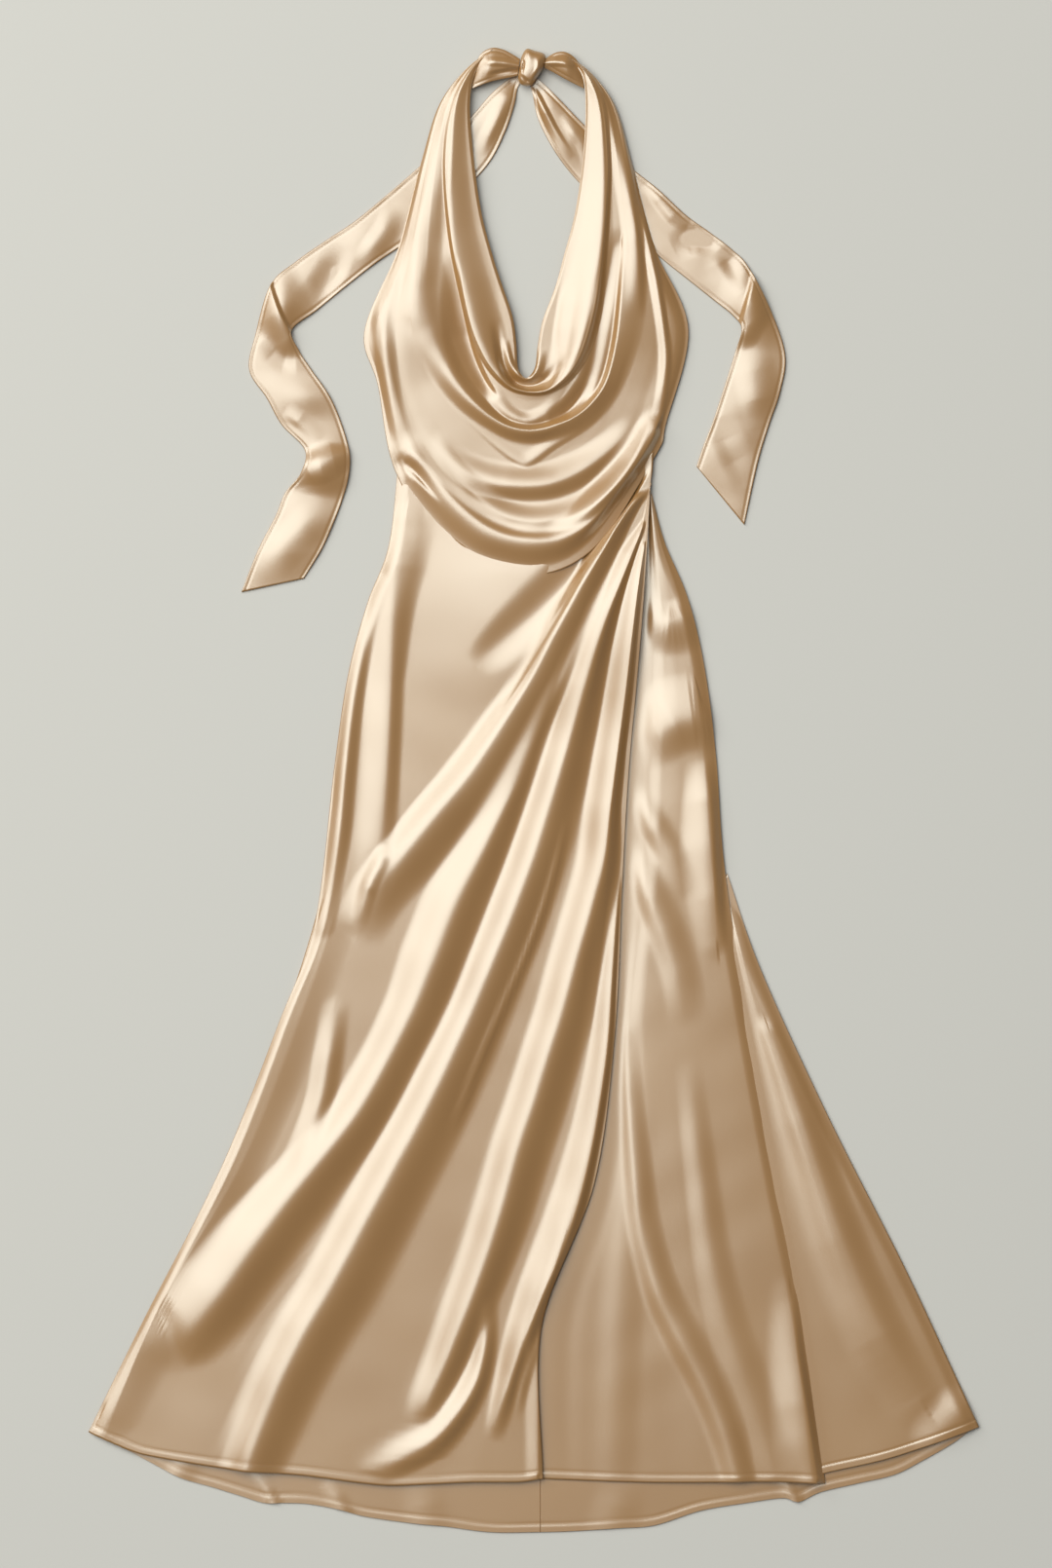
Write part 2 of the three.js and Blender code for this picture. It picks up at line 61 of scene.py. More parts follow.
def to_x(x):
    """Metres to the right of the dress's middle, from plan units."""
    return (np.asarray(x, float) - (PLAN["left"] + PLAN["right"]) / 2) * UNIT


def to_y(down):
    """Metres above the dress's middle, from plan units measured down from the top."""
    return ((PLAN["top"] + PLAN["bottom"]) / 2 - np.asarray(down, float)) * UNIT


print("one plan unit is %.3f mm" % (UNIT / MM))

# %% [markdown]
# ## Curves through a few places
#
# A line on the cloth is known at a few places. Between them it is a cubic, whose slope at each
# place decides its character. A smooth slope is the mean of the steps on both sides, which
# suits a line drawn on cloth. A level slope is nought at each high and low point, so the curve
# never passes its values: that suits heights, and the way from one line to the next.


# %% Cubic curves on whole arrays
def smooth_slopes(v):
    """Mean of the steps before and after each value, along the first axis."""
    return np.gradient(v, axis=0)


def level_slopes(v):
    """Harmonic mean of the two steps where both go the same way, or else nought."""
    steps = np.diff(v, axis=0)
    before, after = steps[:-1], steps[1:]
    same = before * after > 0
    inner = np.where(same, 2 * before * after / np.where(same, before + after, 1), 0)
    return np.concatenate([steps[:1], inner, steps[-1:]])


def through(values, u, slopes):
    """Cubic Hermite curve through values spaced one apart, at the places u."""
    v = np.asarray(values, float)
    m = slopes(v)
    i = np.clip(np.floor(u).astype(int), 0, len(v) - 2)
    f = (u - i).reshape((-1,) + (1,) * (v.ndim - 1))
    rise = v[i + 1] - v[i]
    return v[i] + f * (m[i] + f * (3 * rise - 2 * m[i] - m[i + 1] + f * (m[i] + m[i + 1] - 2 * rise)))


def ease(t):
    """3 t**2 - 2 t**3 between 0 and 1, level at both ends."""
    t = np.clip(t, 0, 1)
    return t * t * (3 - 2 * t)


def spread(count, cells, dense_start=0, dense_end=0, margin=0.12):
    """Places from nought to count, with extra ones packed into a margin at either end."""
    low = margin if dense_start else 0
    high = count - margin if dense_end else count
    parts = [np.linspace(0, low, dense_start, endpoint=False)] if dense_start else []
    parts.append(np.linspace(low, high, cells + 1, endpoint=not dense_end))
    if dense_end:
        parts.append(np.linspace(high, count, dense_end + 1))
    return np.concatenate(parts)


def lay_out(lines, across, along):
    """Plan x and plan down of a panel, as grids over a table of lines drawn on its cloth."""
    grids = []
    for key in ("x", "down"):
        places = np.array([line[key] for line in lines], float).T
        grids.append(through(through(places, along, smooth_slopes).T, across, level_slopes))
    return grids


print("a curve through 0, 1, 0 is level at its crest:", level_slopes(np.array([0.0, 1.0, 0.0]))[1])

# %% [markdown]
# ## Folds
#
# A fold is a ridge along its own crest line: how high it rises at each place, and how wide its
# two flanks are. A wide flank is a soft slope, and a narrow one is a roll that drops to the
# cloth beside it. The flanks are named for someone who walks along the crest from its first
# place: the right-hand one and the left-hand one. A negative rise is a valley.
#
# Satin mirrors its light. A flank that faces the light has to stay gentle, or its sheen breaks
# up into thin lines. Some folds pass through a rule that raises them and widens such flanks. A
# firm one is only raised. The other folds are given at their final size.


# %% Ridges from their crest lines
def folded(x, down, folds):
    """Sum of ridges in mm: rise * ease(1 - distance / width of that flank)."""
    total = np.zeros(x.shape)
    for fold in folds:
        count = len(fold["x"])
        u = np.linspace(0, count - 1, 5 * (count - 1) + 1)
        crest = np.stack([through(fold[key], u, smooth_slopes) for key in ("x", "down")], -1)
        rise, right, left = (
            np.interp(u, np.arange(count), np.broadcast_to(np.asarray(fold[key], float), count))
            for key in ("rise", "right", "left")
        )
        reach = max(right.max(), left.max())
        near = ((x > crest[:, 0].min() - reach) & (x < crest[:, 0].max() + reach)
                & (down > crest[:, 1].min() - reach) & (down < crest[:, 1].max() + reach))
        px, pd = x[near], down[near]
        nearest = np.full(px.shape, np.inf)
        added = np.zeros(px.shape)
        for i in range(len(u) - 1):
            (ax, ad), (bx, bd) = crest[i], crest[i + 1]
            dx, dd = bx - ax, bd - ad
            t = np.clip(((px - ax) * dx + (pd - ad) * dd) / (dx * dx + dd * dd), 0, 1)
            ox, od = px - ax - t * dx, pd - ad - t * dd
            distance = np.hypot(ox, od)
            on_right = dx * od - dd * ox > 0
            width = np.where(on_right, right[i] + t * (right[i + 1] - right[i]),
                             left[i] + t * (left[i + 1] - left[i]))
            height = (rise[i] + t * (rise[i + 1] - rise[i])) * ease(1 - distance / width)
            closer = distance < nearest
            nearest = np.where(closer, distance, nearest)
            added = np.where(closer, height, added)
        total[near] += added
    return total


TO_THE_LIGHT = (-0.77, -0.64)
FLANK_PER_RISE, LIT_SHARE = 2, 1.2


def softened(folds, gain):
    """Rises times the gain, and flanks of at least (FLANK_PER_RISE + LIT_SHARE * facing) * rise.

    Facing is 1 for a flank that looks to the light, -1 for one that looks away. A firm fold keeps
    its flanks. Rises are rounded to 0.1 mm, flanks to whole plan units.
    """
    made = []
    for fold in folds:
        count = len(fold["x"])
        rise, right, left = (
            np.broadcast_to(np.asarray(fold[key], float), count) for key in ("rise", "right", "left")
        )
        rise = gain * rise
        if not fold.get("firm"):
            dx, dd = (np.gradient(np.asarray(fold[key], float)) for key in ("x", "down"))
            facing = (dx * TO_THE_LIGHT[1] - dd * TO_THE_LIGHT[0]) / np.hypot(dx, dd)
            facing = np.where(rise < 0, -facing, facing)
            right = np.maximum(right, (FLANK_PER_RISE + LIT_SHARE * facing) * abs(rise))
            left = np.maximum(left, (FLANK_PER_RISE - LIT_SHARE * facing) * abs(rise))
        made.append(dict(fold, rise=np.round(rise, 1), right=np.round(right), left=np.round(left)))
    return made


def swell(x, down, middle, radii, rise):
    """A rounded mound in mm: rise * ease(1 - distance from its middle, measured in radii)."""
    distance = np.hypot((x - middle[0]) / radii[0], (down - middle[1]) / radii[1])
    return rise * ease(1 - distance)


WAVES = 14


def ripple(x, down, seed, size, height):
    """Faint unevenness in mm: a sum of plane waves of about the given size, from one seed."""
    rng = np.random.default_rng(seed)
    total = np.zeros(x.shape)
    for _ in range(WAVES):
        angle, phase = rng.uniform(0, 2 * np.pi, 2)
        length = size * rng.uniform(0.6, 1.7)
        total += np.sin(2 * np.pi * (x * np.cos(angle) + down * np.sin(angle)) / length + phase)
    return height * total / WAVES**0.5


PRESSED_BELOW, PRESSED_TO = 4.0, 0.4


def pressed(height):
    """Heights in mm, with what is lower than the cloth beneath allows pressed to 0.4 of its depth."""
    depth = np.maximum(PRESSED_BELOW - height, 0)
    return height + (1 - PRESSED_TO) * depth


def gap_to(x, down, place):
    """Plan distance of each grid place from the edge at one end of its own row or column."""
    edge_x, edge_down = {
        "first row": (x[:1], down[:1]), "last row": (x[-1:], down[-1:]),
        "last column": (x[:, -1:], down[:, -1:]),
    }[place]
    return np.hypot(x - edge_x, down - edge_down)


def groove(gap, seam, width):
    """A bell-shaped groove, 1 deep at the seam's distance from the edge."""
    return np.exp(-((gap - seam) / width) ** 2)


HEM_WIDTH, HEM_RISE, HEM_GROOVE = 8.0, 0.28, 0.4


def hem_band(gap):
    """Height in mm of a turned and stitched hem: a raised band with a groove at its seam."""
    return HEM_RISE * ease((HEM_WIDTH + 1 - gap) / 2) - HEM_GROOVE * groove(gap, HEM_WIDTH, 1.1)


print("a hem's edge stands %.2f mm above its cloth" % hem_band(0.0))

# %% [markdown]
# ## Cloth as a thin shell
#
# A panel's mesh is a closed shell: the grid is the right side of the cloth, the same grid set
# back along the surface's own normal is the wrong side, and a narrow strip joins their edges.


# %% From a grid to a closed mesh
CLOTH_THICKNESS = 0.7 * MM
SHOWN = []
SHEETS = []


def add_object(name, data):
    """A new object that holds the data, linked into the scene."""
    made = bpy.data.objects.new(name, data)
    bpy.context.scene.collection.objects.link(made)
    return made


def grid_normals(points):
    """Unit normals of a grid of points: the cross product of its two directions."""
    normals = np.cross(np.gradient(points, axis=1), np.gradient(points, axis=0))
    lengths = np.linalg.norm(normals, axis=-1, keepdims=True)
    normals = normals / np.maximum(lengths, 1e-12)
    return normals * np.where(np.median(normals[..., 2]) < 0, -1, 1)


def cut_of(points, bent):
    """The flat cut in metres: its area is the cloth's own, folds and all. A panel's width and
    length are its plan's, let out by the same share as its area. A bent ribbon's are its longest
    line across and its longest line along."""
    spans = np.cross(points[1:, 1:] - points[:-1, :-1], points[1:, :-1] - points[:-1, 1:])
    area = np.linalg.norm(spans, axis=-1).sum() / 2
    if bent:
        steps = [np.linalg.norm(np.diff(points, axis=k), axis=-1).sum(axis=k) for k in (0, 1)]
        return dict(flat=(float(steps[0].max()), float(steps[1].max())), area=float(area))
    let_out = (area / (np.abs(spans[..., 2]).sum() / 2)) ** 0.5
    width, length = np.ptp(points[..., 0]) * let_out, np.ptp(points[..., 1]) * let_out
    return dict(flat=(float(width), float(length)), area=float(area))


def shell(name, points, node, thickness=CLOTH_THICKNESS, floor=0.0, bent=False, sewn=("last column",)):
    """A closed cloth mesh over a grid of points in metres, standing for one CAD node.

    Wrong side = right side - thickness * normal, kept at or above the floor. Sewn names the
    edges that get stitches, and bent tells cut_of that the cloth is a ribbon.
    """
    rows, columns = points.shape[:2]
    under = points - grid_normals(points) * thickness
    under[..., 2] = np.maximum(under[..., 2], floor)
    index = np.arange(rows * columns).reshape(rows, columns)
    cells = np.stack([index[:-1, :-1], index[:-1, 1:], index[1:, 1:], index[1:, :-1]], -1).reshape(-1, 4)
    edge = np.concatenate([index[0, :-1], index[:-1, -1], index[-1, :0:-1], index[:0:-1, 0]])
    after = np.roll(edge, -1)
    count = rows * columns
    strip = np.stack([edge, edge + count, after + count, after], -1)
    faces = np.concatenate([cells, cells[:, ::-1] + count, strip])
    flat = np.cross(np.gradient(points, axis=1), np.gradient(points, axis=0))[..., 2]
    if flat.sum() < 0:
        faces = faces[:, ::-1]
    mesh = bpy.data.meshes.new(name)
    mesh.from_pydata(np.concatenate([points.reshape(-1, 3), under.reshape(-1, 3)]), [], faces.tolist())
    mesh.shade_smooth()
    measure = np.stack(np.meshgrid(np.arange(columns) / columns, np.arange(rows) / rows), -1).reshape(-1, 2)
    loops = np.empty(len(mesh.loops), int)
    mesh.loops.foreach_get("vertex_index", loops)
    uv = mesh.uv_layers.new(name="cloth")
    uv.uv.foreach_set("vector", np.concatenate([measure, measure])[loops].ravel())
    piece = add_object(name, mesh)
    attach(piece, "root")
    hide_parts(node)
    SHOWN.append(piece)
    SHEETS.append(dict(piece=piece, points=points, sewn=sewn, **cut_of(points, bent)))
    print("%s: %d triangles, %.1f mm at its highest" % (name, 2 * len(faces), points[..., 2].max() / MM))


def from_plan(x, down, height):
    """A grid of points in metres from plan places and heights in mm."""
    return np.stack([to_x(x), to_y(down), height * MM], -1)


print("front panels %.1f mm thick" % (CLOTH_THICKNESS / MM))

# %% [markdown]
# ## The wrap skirt
#
# The over-skirt is caught in the left side seam in a bunch of pleats. From there its folds fan
# out over the hips: the upper ones sweep across to the right side, the lower ones fall to the
# hem. Its free edge turns in below the hip and drops to the hem near the centre back.

# %% Wrap skirt: the lines drawn on its cloth
WRAP_SKIRT = [
    dict(line="right side edge", level=4.6,
         x=[409, 399, 377, 357, 343, 323, 286, 227, 149, 91],
         down=[476, 561, 620, 695, 790, 950, 1051, 1199, 1352, 1470]),
    dict(line="right side roll", level=5.6,
         x=[415, 408, 387, 367, 353, 331, 295, 236, 154, 98],
         down=[476, 562, 622, 698, 793, 947, 1046, 1196, 1350, 1473.5]),
    dict(line="hip valley", level=5.8,
         x=[423, 418, 399, 378, 365, 338, 304, 244, 158, 103],
         down=[488, 565, 626, 703, 799, 943, 1041, 1193, 1348, 1475.5]),
    dict(line="hip ridge", level=6,
         x=[434, 428, 413, 395, 383, 345, 313, 252, 162, 107],
         down=[507, 569, 631, 710, 806, 938, 1036, 1190, 1346, 1477.5]),
    dict(line="thigh valley", level=6,
         x=[448, 439, 426, 412, 401, 352, 321, 260, 166, 110],
         down=[527, 578, 640, 720, 812, 932, 1031, 1187, 1344, 1479]),
    dict(line="belly swell", level=6,
         x=[480, 474, 464, 443, 418, 362, 329, 268, 170, 113],
         down=[562, 612, 668, 738, 808, 920, 1025, 1183, 1342, 1480]),
    dict(line="belly slope", level=6,
         x=[545, 538, 510, 466, 434, 376, 337, 275, 173, 115],
         down=[574, 606, 650, 722, 798, 904, 1019, 1179, 1340, 1481]),
    dict(line="waist valley", level=6,
         x=[671, 614, 556, 492, 450, 392, 345, 282, 176, 117],
         down=[463, 556, 618, 690, 784, 884, 1011, 1174, 1338, 1482]),
    dict(line="first pleat", level=6,
         x=[669.5, 638, 597, 552, 480, 418, 356, 289, 179, 119],
         down=[485, 534, 594, 670, 778, 858, 1002, 1168, 1336, 1483]),
    dict(line="first foot", level=6,
         x=[668.5, 647, 609, 572, 504, 452, 379, 303, 183, 122],
         down=[491, 546, 606, 670, 775, 856, 1003, 1160, 1334, 1484]),
    dict(line="second pleat", level=6,
         x=[668, 651, 618, 587, 538, 488, 410, 333, 189, 126],
         down=[494, 551, 613, 677, 772, 862, 1000, 1167, 1334, 1486]),
    dict(line="second foot", level=6,
         x=[668, 653, 625, 601, 564, 522, 466, 384, 218, 143],
         down=[496, 554, 618, 685, 776, 872, 1008, 1172, 1366, 1492]),
    dict(line="third pleat", level=6.5,
         x=[667.5, 655, 632, 611, 577, 538, 488, 408, 320, 251],
         down=[498, 557, 622, 693, 786, 896, 1040, 1208, 1350, 1510]),
    dict(line="third foot", level=6.5,
         x=[667.5, 657, 637, 618, 590, 560, 528, 458, 366, 305],
         down=[499.5, 559, 624, 696, 788, 900, 1050, 1205, 1358, 1514]),
    dict(line="fourth pleat", level=6.5,
         x=[667, 659, 643, 630, 613, 595, 562, 518, 458, 400],
         down=[501, 561, 626, 699, 791, 905, 1058, 1207, 1354, 1525]),
    dict(line="fourth foot", level=6.5,
         x=[667, 660, 648, 638, 625, 612, 593, 560, 505, 442],
         down=[502.5, 563, 628, 701, 793, 908, 1060, 1209, 1358, 1523.5]),
    dict(line="edge pleat", level=7,
         x=[667, 661, 652, 644, 633, 623, 608, 585, 530, 490],
         down=[504, 565, 630, 703, 794, 910, 1061, 1211, 1360, 1521.5]),
    dict(line="inside of the wrap edge", level=7,
         x=[667, 662.5, 656, 649, 640, 631, 621, 598, 544, 528],
         down=[505.5, 567, 632, 705, 795, 912, 1062, 1213, 1361, 1521.5]),
    dict(line="wrap edge", level=7,
         x=[667, 663.5, 659, 653, 645, 638.5, 631, 610, 556, 557.5],
         down=[507, 569, 634, 707, 796, 913, 1063, 1215, 1362, 1518]),
]
print("wrap skirt: %d lines" % len(WRAP_SKIRT))

# %% Wrap skirt: its folds
WRAP_FOLDS = softened([
    dict(fold="right side", x=[388, 372, 361, 354, 349, 341, 332],
         down=[600, 660, 720, 790, 850, 900, 950], rise=[0.5, 1.5, 2, 2.2, 2, 1.2, 0.5], right=16,
         left=14),
    dict(fold="notch", x=[409, 420, 431, 440, 446], down=[486, 487, 495, 512, 535],
         rise=[3, 3, 2.5, 1.5, 0], right=8, left=8),
    dict(fold="pinch beside the first pleat", firm=True, x=[600, 575, 550, 528, 510],
         down=[588, 630, 670, 705, 733], rise=[0, -1, -1, -1, 0], right=3, left=3),
    dict(fold="second pleat",
         x=[600, 580, 562, 545, 522, 497, 470, 446, 425, 400, 372, 345, 306, 264, 226, 196, 176],
         down=[640, 690, 730, 770, 820, 872, 925, 985, 1035, 1085, 1135, 1172, 1220, 1275, 1330, 1364,
         1376], rise=[0, 1, 2, 3, 4, 5, 5.5, 6, 6, 6, 6, 6, 6.5, 7, 6.5, 4.5, 1],
         right=[10, 12, 16, 20, 26, 32, 38, 38, 32, 28, 26, 28, 36, 46, 52, 48, 36],
         left=[8, 10, 12, 16, 22, 28, 34, 38, 38, 36, 36, 38, 42, 44, 42, 40, 34]),
    dict(fold="third pleat", x=[660, 648, 636, 624, 612, 600, 587, 573, 558, 543, 524, 505, 484, 459, 432,
         402, 372, 342, 314, 290, 272, 258, 253], down=[540, 570, 600, 630, 665, 705, 750, 800, 850, 895,
         945, 990, 1040, 1095, 1150, 1205, 1262, 1318, 1366, 1412, 1455, 1492, 1509],
         rise=[1, 3, 4, 5, 5.5, 6, 6, 6, 6, 6, 6, 6, 6, 6.5, 6.5, 6.5, 6.5, 6.5, 6.5, 6, 5.5, 5, 4.5],
         right=[3, 4, 6, 8, 10, 12, 16, 20, 24, 28, 28, 28, 26, 24, 22, 20, 18, 16, 14, 14, 14, 14, 12],
         left=[3, 5, 8, 12, 16, 22, 28, 32, 36, 36, 38, 40, 42, 44, 46, 48, 50, 50, 48, 46, 44, 40, 38]),
    dict(fold="ridge below the third pleat", x=[582, 570, 555, 538, 518, 498, 478, 462],
         down=[840, 890, 940, 985, 1030, 1075, 1125, 1165], rise=[0, 1, 1.2, 1.2, 1.2, 1.2, 1, 0],
         right=4, left=6),
    dict(fold="fourth pleat", x=[661, 655, 649, 642, 634, 626, 620, 608, 592, 577, 561, 547, 532, 517,
         500, 480, 460, 440, 432], down=[560, 600, 650, 710, 770, 830, 880, 930, 985, 1040, 1090, 1135,
         1180, 1235, 1290, 1345, 1395, 1440, 1462],
         rise=[1, 3, 4, 5, 5.5, 6, 6, 6, 6, 6, 6, 6, 6, 6, 6, 5.5, 4.5, 2.5, 0],
         right=[2, 5, 9, 15, 20, 24, 26, 24, 24, 24, 24, 24, 24, 24, 26, 26, 24, 22, 18],
         left=[2, 3, 4, 5, 8, 12, 18, 24, 30, 34, 36, 36, 36, 34, 30, 26, 22, 18, 14]),
    dict(fold="edge roll", x=[636, 632, 628, 624, 616, 606, 592, 574, 556, 541, 530, 520, 509],
         down=[900, 950, 1010, 1070, 1130, 1185, 1240, 1290, 1330, 1368, 1400, 1430, 1462],
         rise=[0, 1.5, 2.5, 3.5, 4, 4.5, 5, 5, 5, 4.5, 4, 3, 1],
         right=[8, 12, 16, 20, 24, 28, 32, 32, 28, 24, 20, 16, 12],
         left=[3, 4, 5, 6, 7, 8, 10, 12, 12, 12, 12, 12, 12]),
    dict(fold="swing above the hem", x=[501, 498, 488, 468, 444, 414, 392],
         down=[1345, 1385, 1422, 1455, 1480, 1497, 1507], rise=[1, 3, 4, 4.5, 4, 2.5, 1],
         right=[10, 12, 14, 18, 22, 26, 24], left=[10, 12, 14, 16, 18, 18, 16]),
    dict(fold="crease at the wrap corner", x=[546, 538, 530], down=[1385, 1415, 1450], rise=[1, 1.5, 0],
         right=8, left=8),
    dict(fold="thigh", x=[344, 338, 330, 316, 300], down=[1040, 1085, 1130, 1170, 1200],
         rise=[0.5, 1.8, 2, 1.5, 0], right=18, left=16),
    dict(fold="below the hip", x=[392, 378, 368], down=[880, 910, 950], rise=[1, 1.5, 0], right=12,
         left=12),
], gain=1.6) + [
    dict(fold="right thigh rim", x=[324, 307, 290, 264, 234, 202, 170, 138, 110],
         down=[950, 1000, 1050, 1120, 1185, 1255, 1322, 1385, 1440],
         rise=[1.3, 2.1, 2.6, 2.9, 2.9, 2.9, 2.6, 2.2, 1.6], right=12, left=42),
    dict(fold="hip", x=[414, 407, 403, 401, 398, 394, 390, 384],
         down=[540, 580, 630, 700, 770, 830, 870, 920], rise=[1.6, 4.4, 4.4, 3.4, 3.4, 3, 2, 0], right=28,
         left=[36, 34, 24, 15, 15, 16, 18, 16]),
    dict(fold="first pleat", x=[664, 652, 638, 622, 605, 588, 568, 545, 517, 482, 446, 414, 388, 366],
         down=[506, 515, 533, 556, 585, 618, 655, 700, 745, 797, 840, 880, 915, 960],
         rise=[1.6, 4.8, 7, 8, 8.5, 8.5, 8.5, 9, 9.6, 9.6, 8.8, 7.2, 4.8, 0],
         right=[5, 8, 10, 12, 13, 14, 15, 18, 24, 28, 28, 28, 30, 30],
         left=[4, 8, 12, 18, 24, 30, 36, 42, 44, 44, 42, 38, 34, 30]),
    dict(fold="gap under the waist roll", x=[670, 656, 642, 627, 609, 585, 556, 528, 505, 488],
         down=[474, 497, 519, 541, 567, 595, 624, 648, 668, 684],
         rise=[-3, -8, -10, -8, -5.5, -5, -4.5, -3.5, -2, 0],
         right=[8, 14, 20, 26, 30, 32, 32, 28, 22, 16], left=[4, 4, 4, 5, 8, 14, 22, 28, 26, 20]),
    dict(fold="hem along the wrap edge", x=[584, 562, 552, 552.5, 553],
         down=[1250, 1330, 1370, 1440, 1512], rise=[0, 1.6, 2, 2, 1.6], right=15, left=4),
]
print("wrap skirt: %d folds" % len(WRAP_FOLDS))

# %% Wrap skirt: the cloth
HIP = dict(middle=(596, 612), radii=(205, 160), rise=12)
RIM_WIDTH, RIM_DROP = 14.0, 1.8
LOWEST_HEM, SEAM_HOLD = 1.6, 0.6


def levels(lines, across):
    """Height in mm of a panel's cloth before its folds, from the levels in its table of lines."""
    return through([line["level"] for line in lines], across, level_slopes)[:, None]


def rim(gap):
    """How far in mm the cloth rolls down towards an edge that shows from the side."""
    return RIM_DROP * (1 - ease(gap / RIM_WIDTH))


across = spread(len(WRAP_SKIRT) - 1, 205, dense_start=4, dense_end=6, margin=0.3)
along = spread(9, 198, dense_end=12, margin=0.16)
x, down = lay_out(WRAP_SKIRT, across, along)
level = levels(WRAP_SKIRT, across)
free = ease(along / SEAM_HOLD)  # the seam at the waist holds the folds flat
height = (level + swell(x, down, **HIP) + folded(x, down, WRAP_FOLDS) * free
          + ripple(x, down, 5, 90, 0.15) * free - rim(gap_to(x, down, "first row"))
          + hem_band(gap_to(x, down, "last column")))
shell("wrap_skirt_cloth", from_plan(x, down, pressed(height)), "front_wrap_skirt")

# %% [markdown]
# ## The under-skirt and the godet
#
# Left of the wrap edge the under-skirt shows, crumpled at the thigh where the wrap pulls on
# it and falling in long soft folds below. A flared godet is let into the side seam beside it.

# %% Under-skirt and godet: the lines drawn on their cloth
UNDER_SKIRT = [
    dict(line="margin under the wrap", level=3,
         x=[664, 654, 646, 638, 628, 617, 602, 575, 530, 522],
         down=[514, 573, 640, 712, 800, 914, 1064, 1216, 1366, 1517]),
    dict(line="line of the wrap edge", level=3,
         x=[665.5, 665, 662, 656, 649, 643, 636, 618, 562, 562],
         down=[513, 571, 636, 708, 798, 912, 1062, 1218, 1364, 1518.5]),
    dict(line="knee valley", level=4.2,
         x=[666.5, 669, 671, 669, 666, 660, 646, 648, 660, 680],
         down=[512, 568, 632, 705, 795, 909, 1058, 1235, 1378, 1522]),
    dict(line="knee ridge", level=6,
         x=[667, 673, 680, 682, 680, 676, 662, 677, 712, 752],
         down=[511, 565, 629, 702, 792, 905, 1052, 1238, 1376, 1521.5]),
    dict(line="shin valley", level=6.5,
         x=[667.5, 676.5, 690, 695, 698, 701, 692, 706, 736, 776],
         down=[510, 562, 625, 699, 788, 902, 1048, 1236, 1374, 1521]),
    dict(line="shin ridge", level=6.5,
         x=[668, 679, 698, 708, 715, 721, 722, 733, 762, 798],
         down=[509, 560, 621, 694, 783, 899, 1046, 1232, 1372, 1521]),
    dict(line="left side roll", level=6,
         x=[668.5, 680, 702, 717, 729, 736, 756, 785, 811, 836],
         down=[508, 558, 617, 688, 778, 895, 1044, 1224, 1368, 1522.5]),
    dict(line="left side edge", level=5,
         x=[669, 682, 706, 723, 735, 744, 768, 799, 828, 847],
         down=[507, 556, 614, 684, 776, 892, 1044, 1218, 1364, 1523]),
]

GODET = [
    dict(line="margin under the skirt", level=4.0,
         x=[739, 747, 775, 801, 820, 833],
         down=[906, 1000, 1150, 1300, 1400, 1516]),
    dict(line="line of the skirt edge", level=4.0,
         x=[742, 760, 789, 817, 836, 852],
         down=[903, 1000, 1150, 1300, 1400, 1511]),
    dict(line="middle ridge", level=5,
         x=[743.5, 767, 812, 858, 888, 905],
         down=[901, 1000, 1150, 1300, 1400, 1499]),
    dict(line="outer valley", level=5.2,
         x=[745, 774, 833, 897, 935, 958],
         down=[899, 999, 1149, 1299, 1400, 1482]),
    dict(line="outer edge", level=4.6,
         x=[746.5, 782, 851, 927, 975, 1005],
         down=[897, 998, 1148, 1298, 1400, 1465]),
]
print("under-skirt: %d lines, godet: %d" % (len(UNDER_SKIRT), len(GODET)))

# %% Under-skirt and godet: their folds
UNDER_FOLDS = softened([
    dict(fold="outer thigh", x=[722, 728, 731, 733, 736], down=[780, 820, 870, 920, 965],
         rise=[0, 3, 3.5, 3, 1], right=[20, 30, 36, 32, 24], left=12),
    dict(fold="knee", x=[640, 645, 652, 660, 676, 700, 724, 744, 757],
         down=[1060, 1130, 1200, 1265, 1325, 1375, 1420, 1468, 1516],
         rise=[0.5, 1.5, 2, 2.5, 3, 3, 3, 3, 2.5], right=[12, 14, 16, 18, 20, 22, 22, 22, 20],
         left=[16, 18, 20, 22, 24, 26, 26, 24, 20]),
    dict(fold="outer hem", x=[812, 818, 826, 832, 838], down=[1330, 1390, 1440, 1480, 1518],
         rise=[0.5, 2.5, 4, 4, 3.5], right=[24, 34, 40, 42, 40], left=10),
    dict(fold="crumple at the hip", x=[720, 704, 686, 670, 656], down=[620, 636, 641, 634, 616],
         rise=[0, 2.2, 3, 2, 0], right=26, left=34),
    dict(fold="crumple above the thigh", x=[744, 726, 710, 692, 674, 652],
         down=[726, 736, 738, 742, 752, 760], rise=[0, 2.5, 4, 4, 2.5, 0], right=[30, 40, 50, 50, 40, 30],
         left=36),
    dict(fold="upper swag", x=[640, 656, 672, 690, 706], down=[804, 826, 850, 880, 920],
         rise=[0, 1.8, 2.2, 1.5, 0], right=20, left=20),
    dict(fold="lower swag", x=[636, 650, 666, 682, 696, 704], down=[866, 888, 918, 956, 1000, 1050],
         rise=[0, 1.8, 2.4, 2.4, 1.6, 0], right=20, left=26),
], gain=1.35) + [
    dict(fold="shin", x=[706, 714, 722, 731, 743, 758, 777, 797],
         down=[1090, 1160, 1225, 1290, 1345, 1395, 1450, 1512], rise=[0, 1.2, 1.8, 2, 2, 2, 2, 2],
         right=[16, 18, 20, 22, 24, 26, 26, 24], left=[16, 18, 20, 22, 24, 26, 28, 28]),
    dict(fold="fall beside the wrap", x=[652, 642, 636, 632, 628], down=[1130, 1230, 1320, 1420, 1516],
         rise=[0, 1.2, 1.7, 1.7, 1.4], right=24, left=28),
    dict(fold="dip at the wrap edge", x=[640, 612, 584, 580, 580], down=[1120, 1250, 1350, 1430, 1512],
         rise=[0, -1.6, -2.2, -2.2, -1.6], right=20, left=16),
]
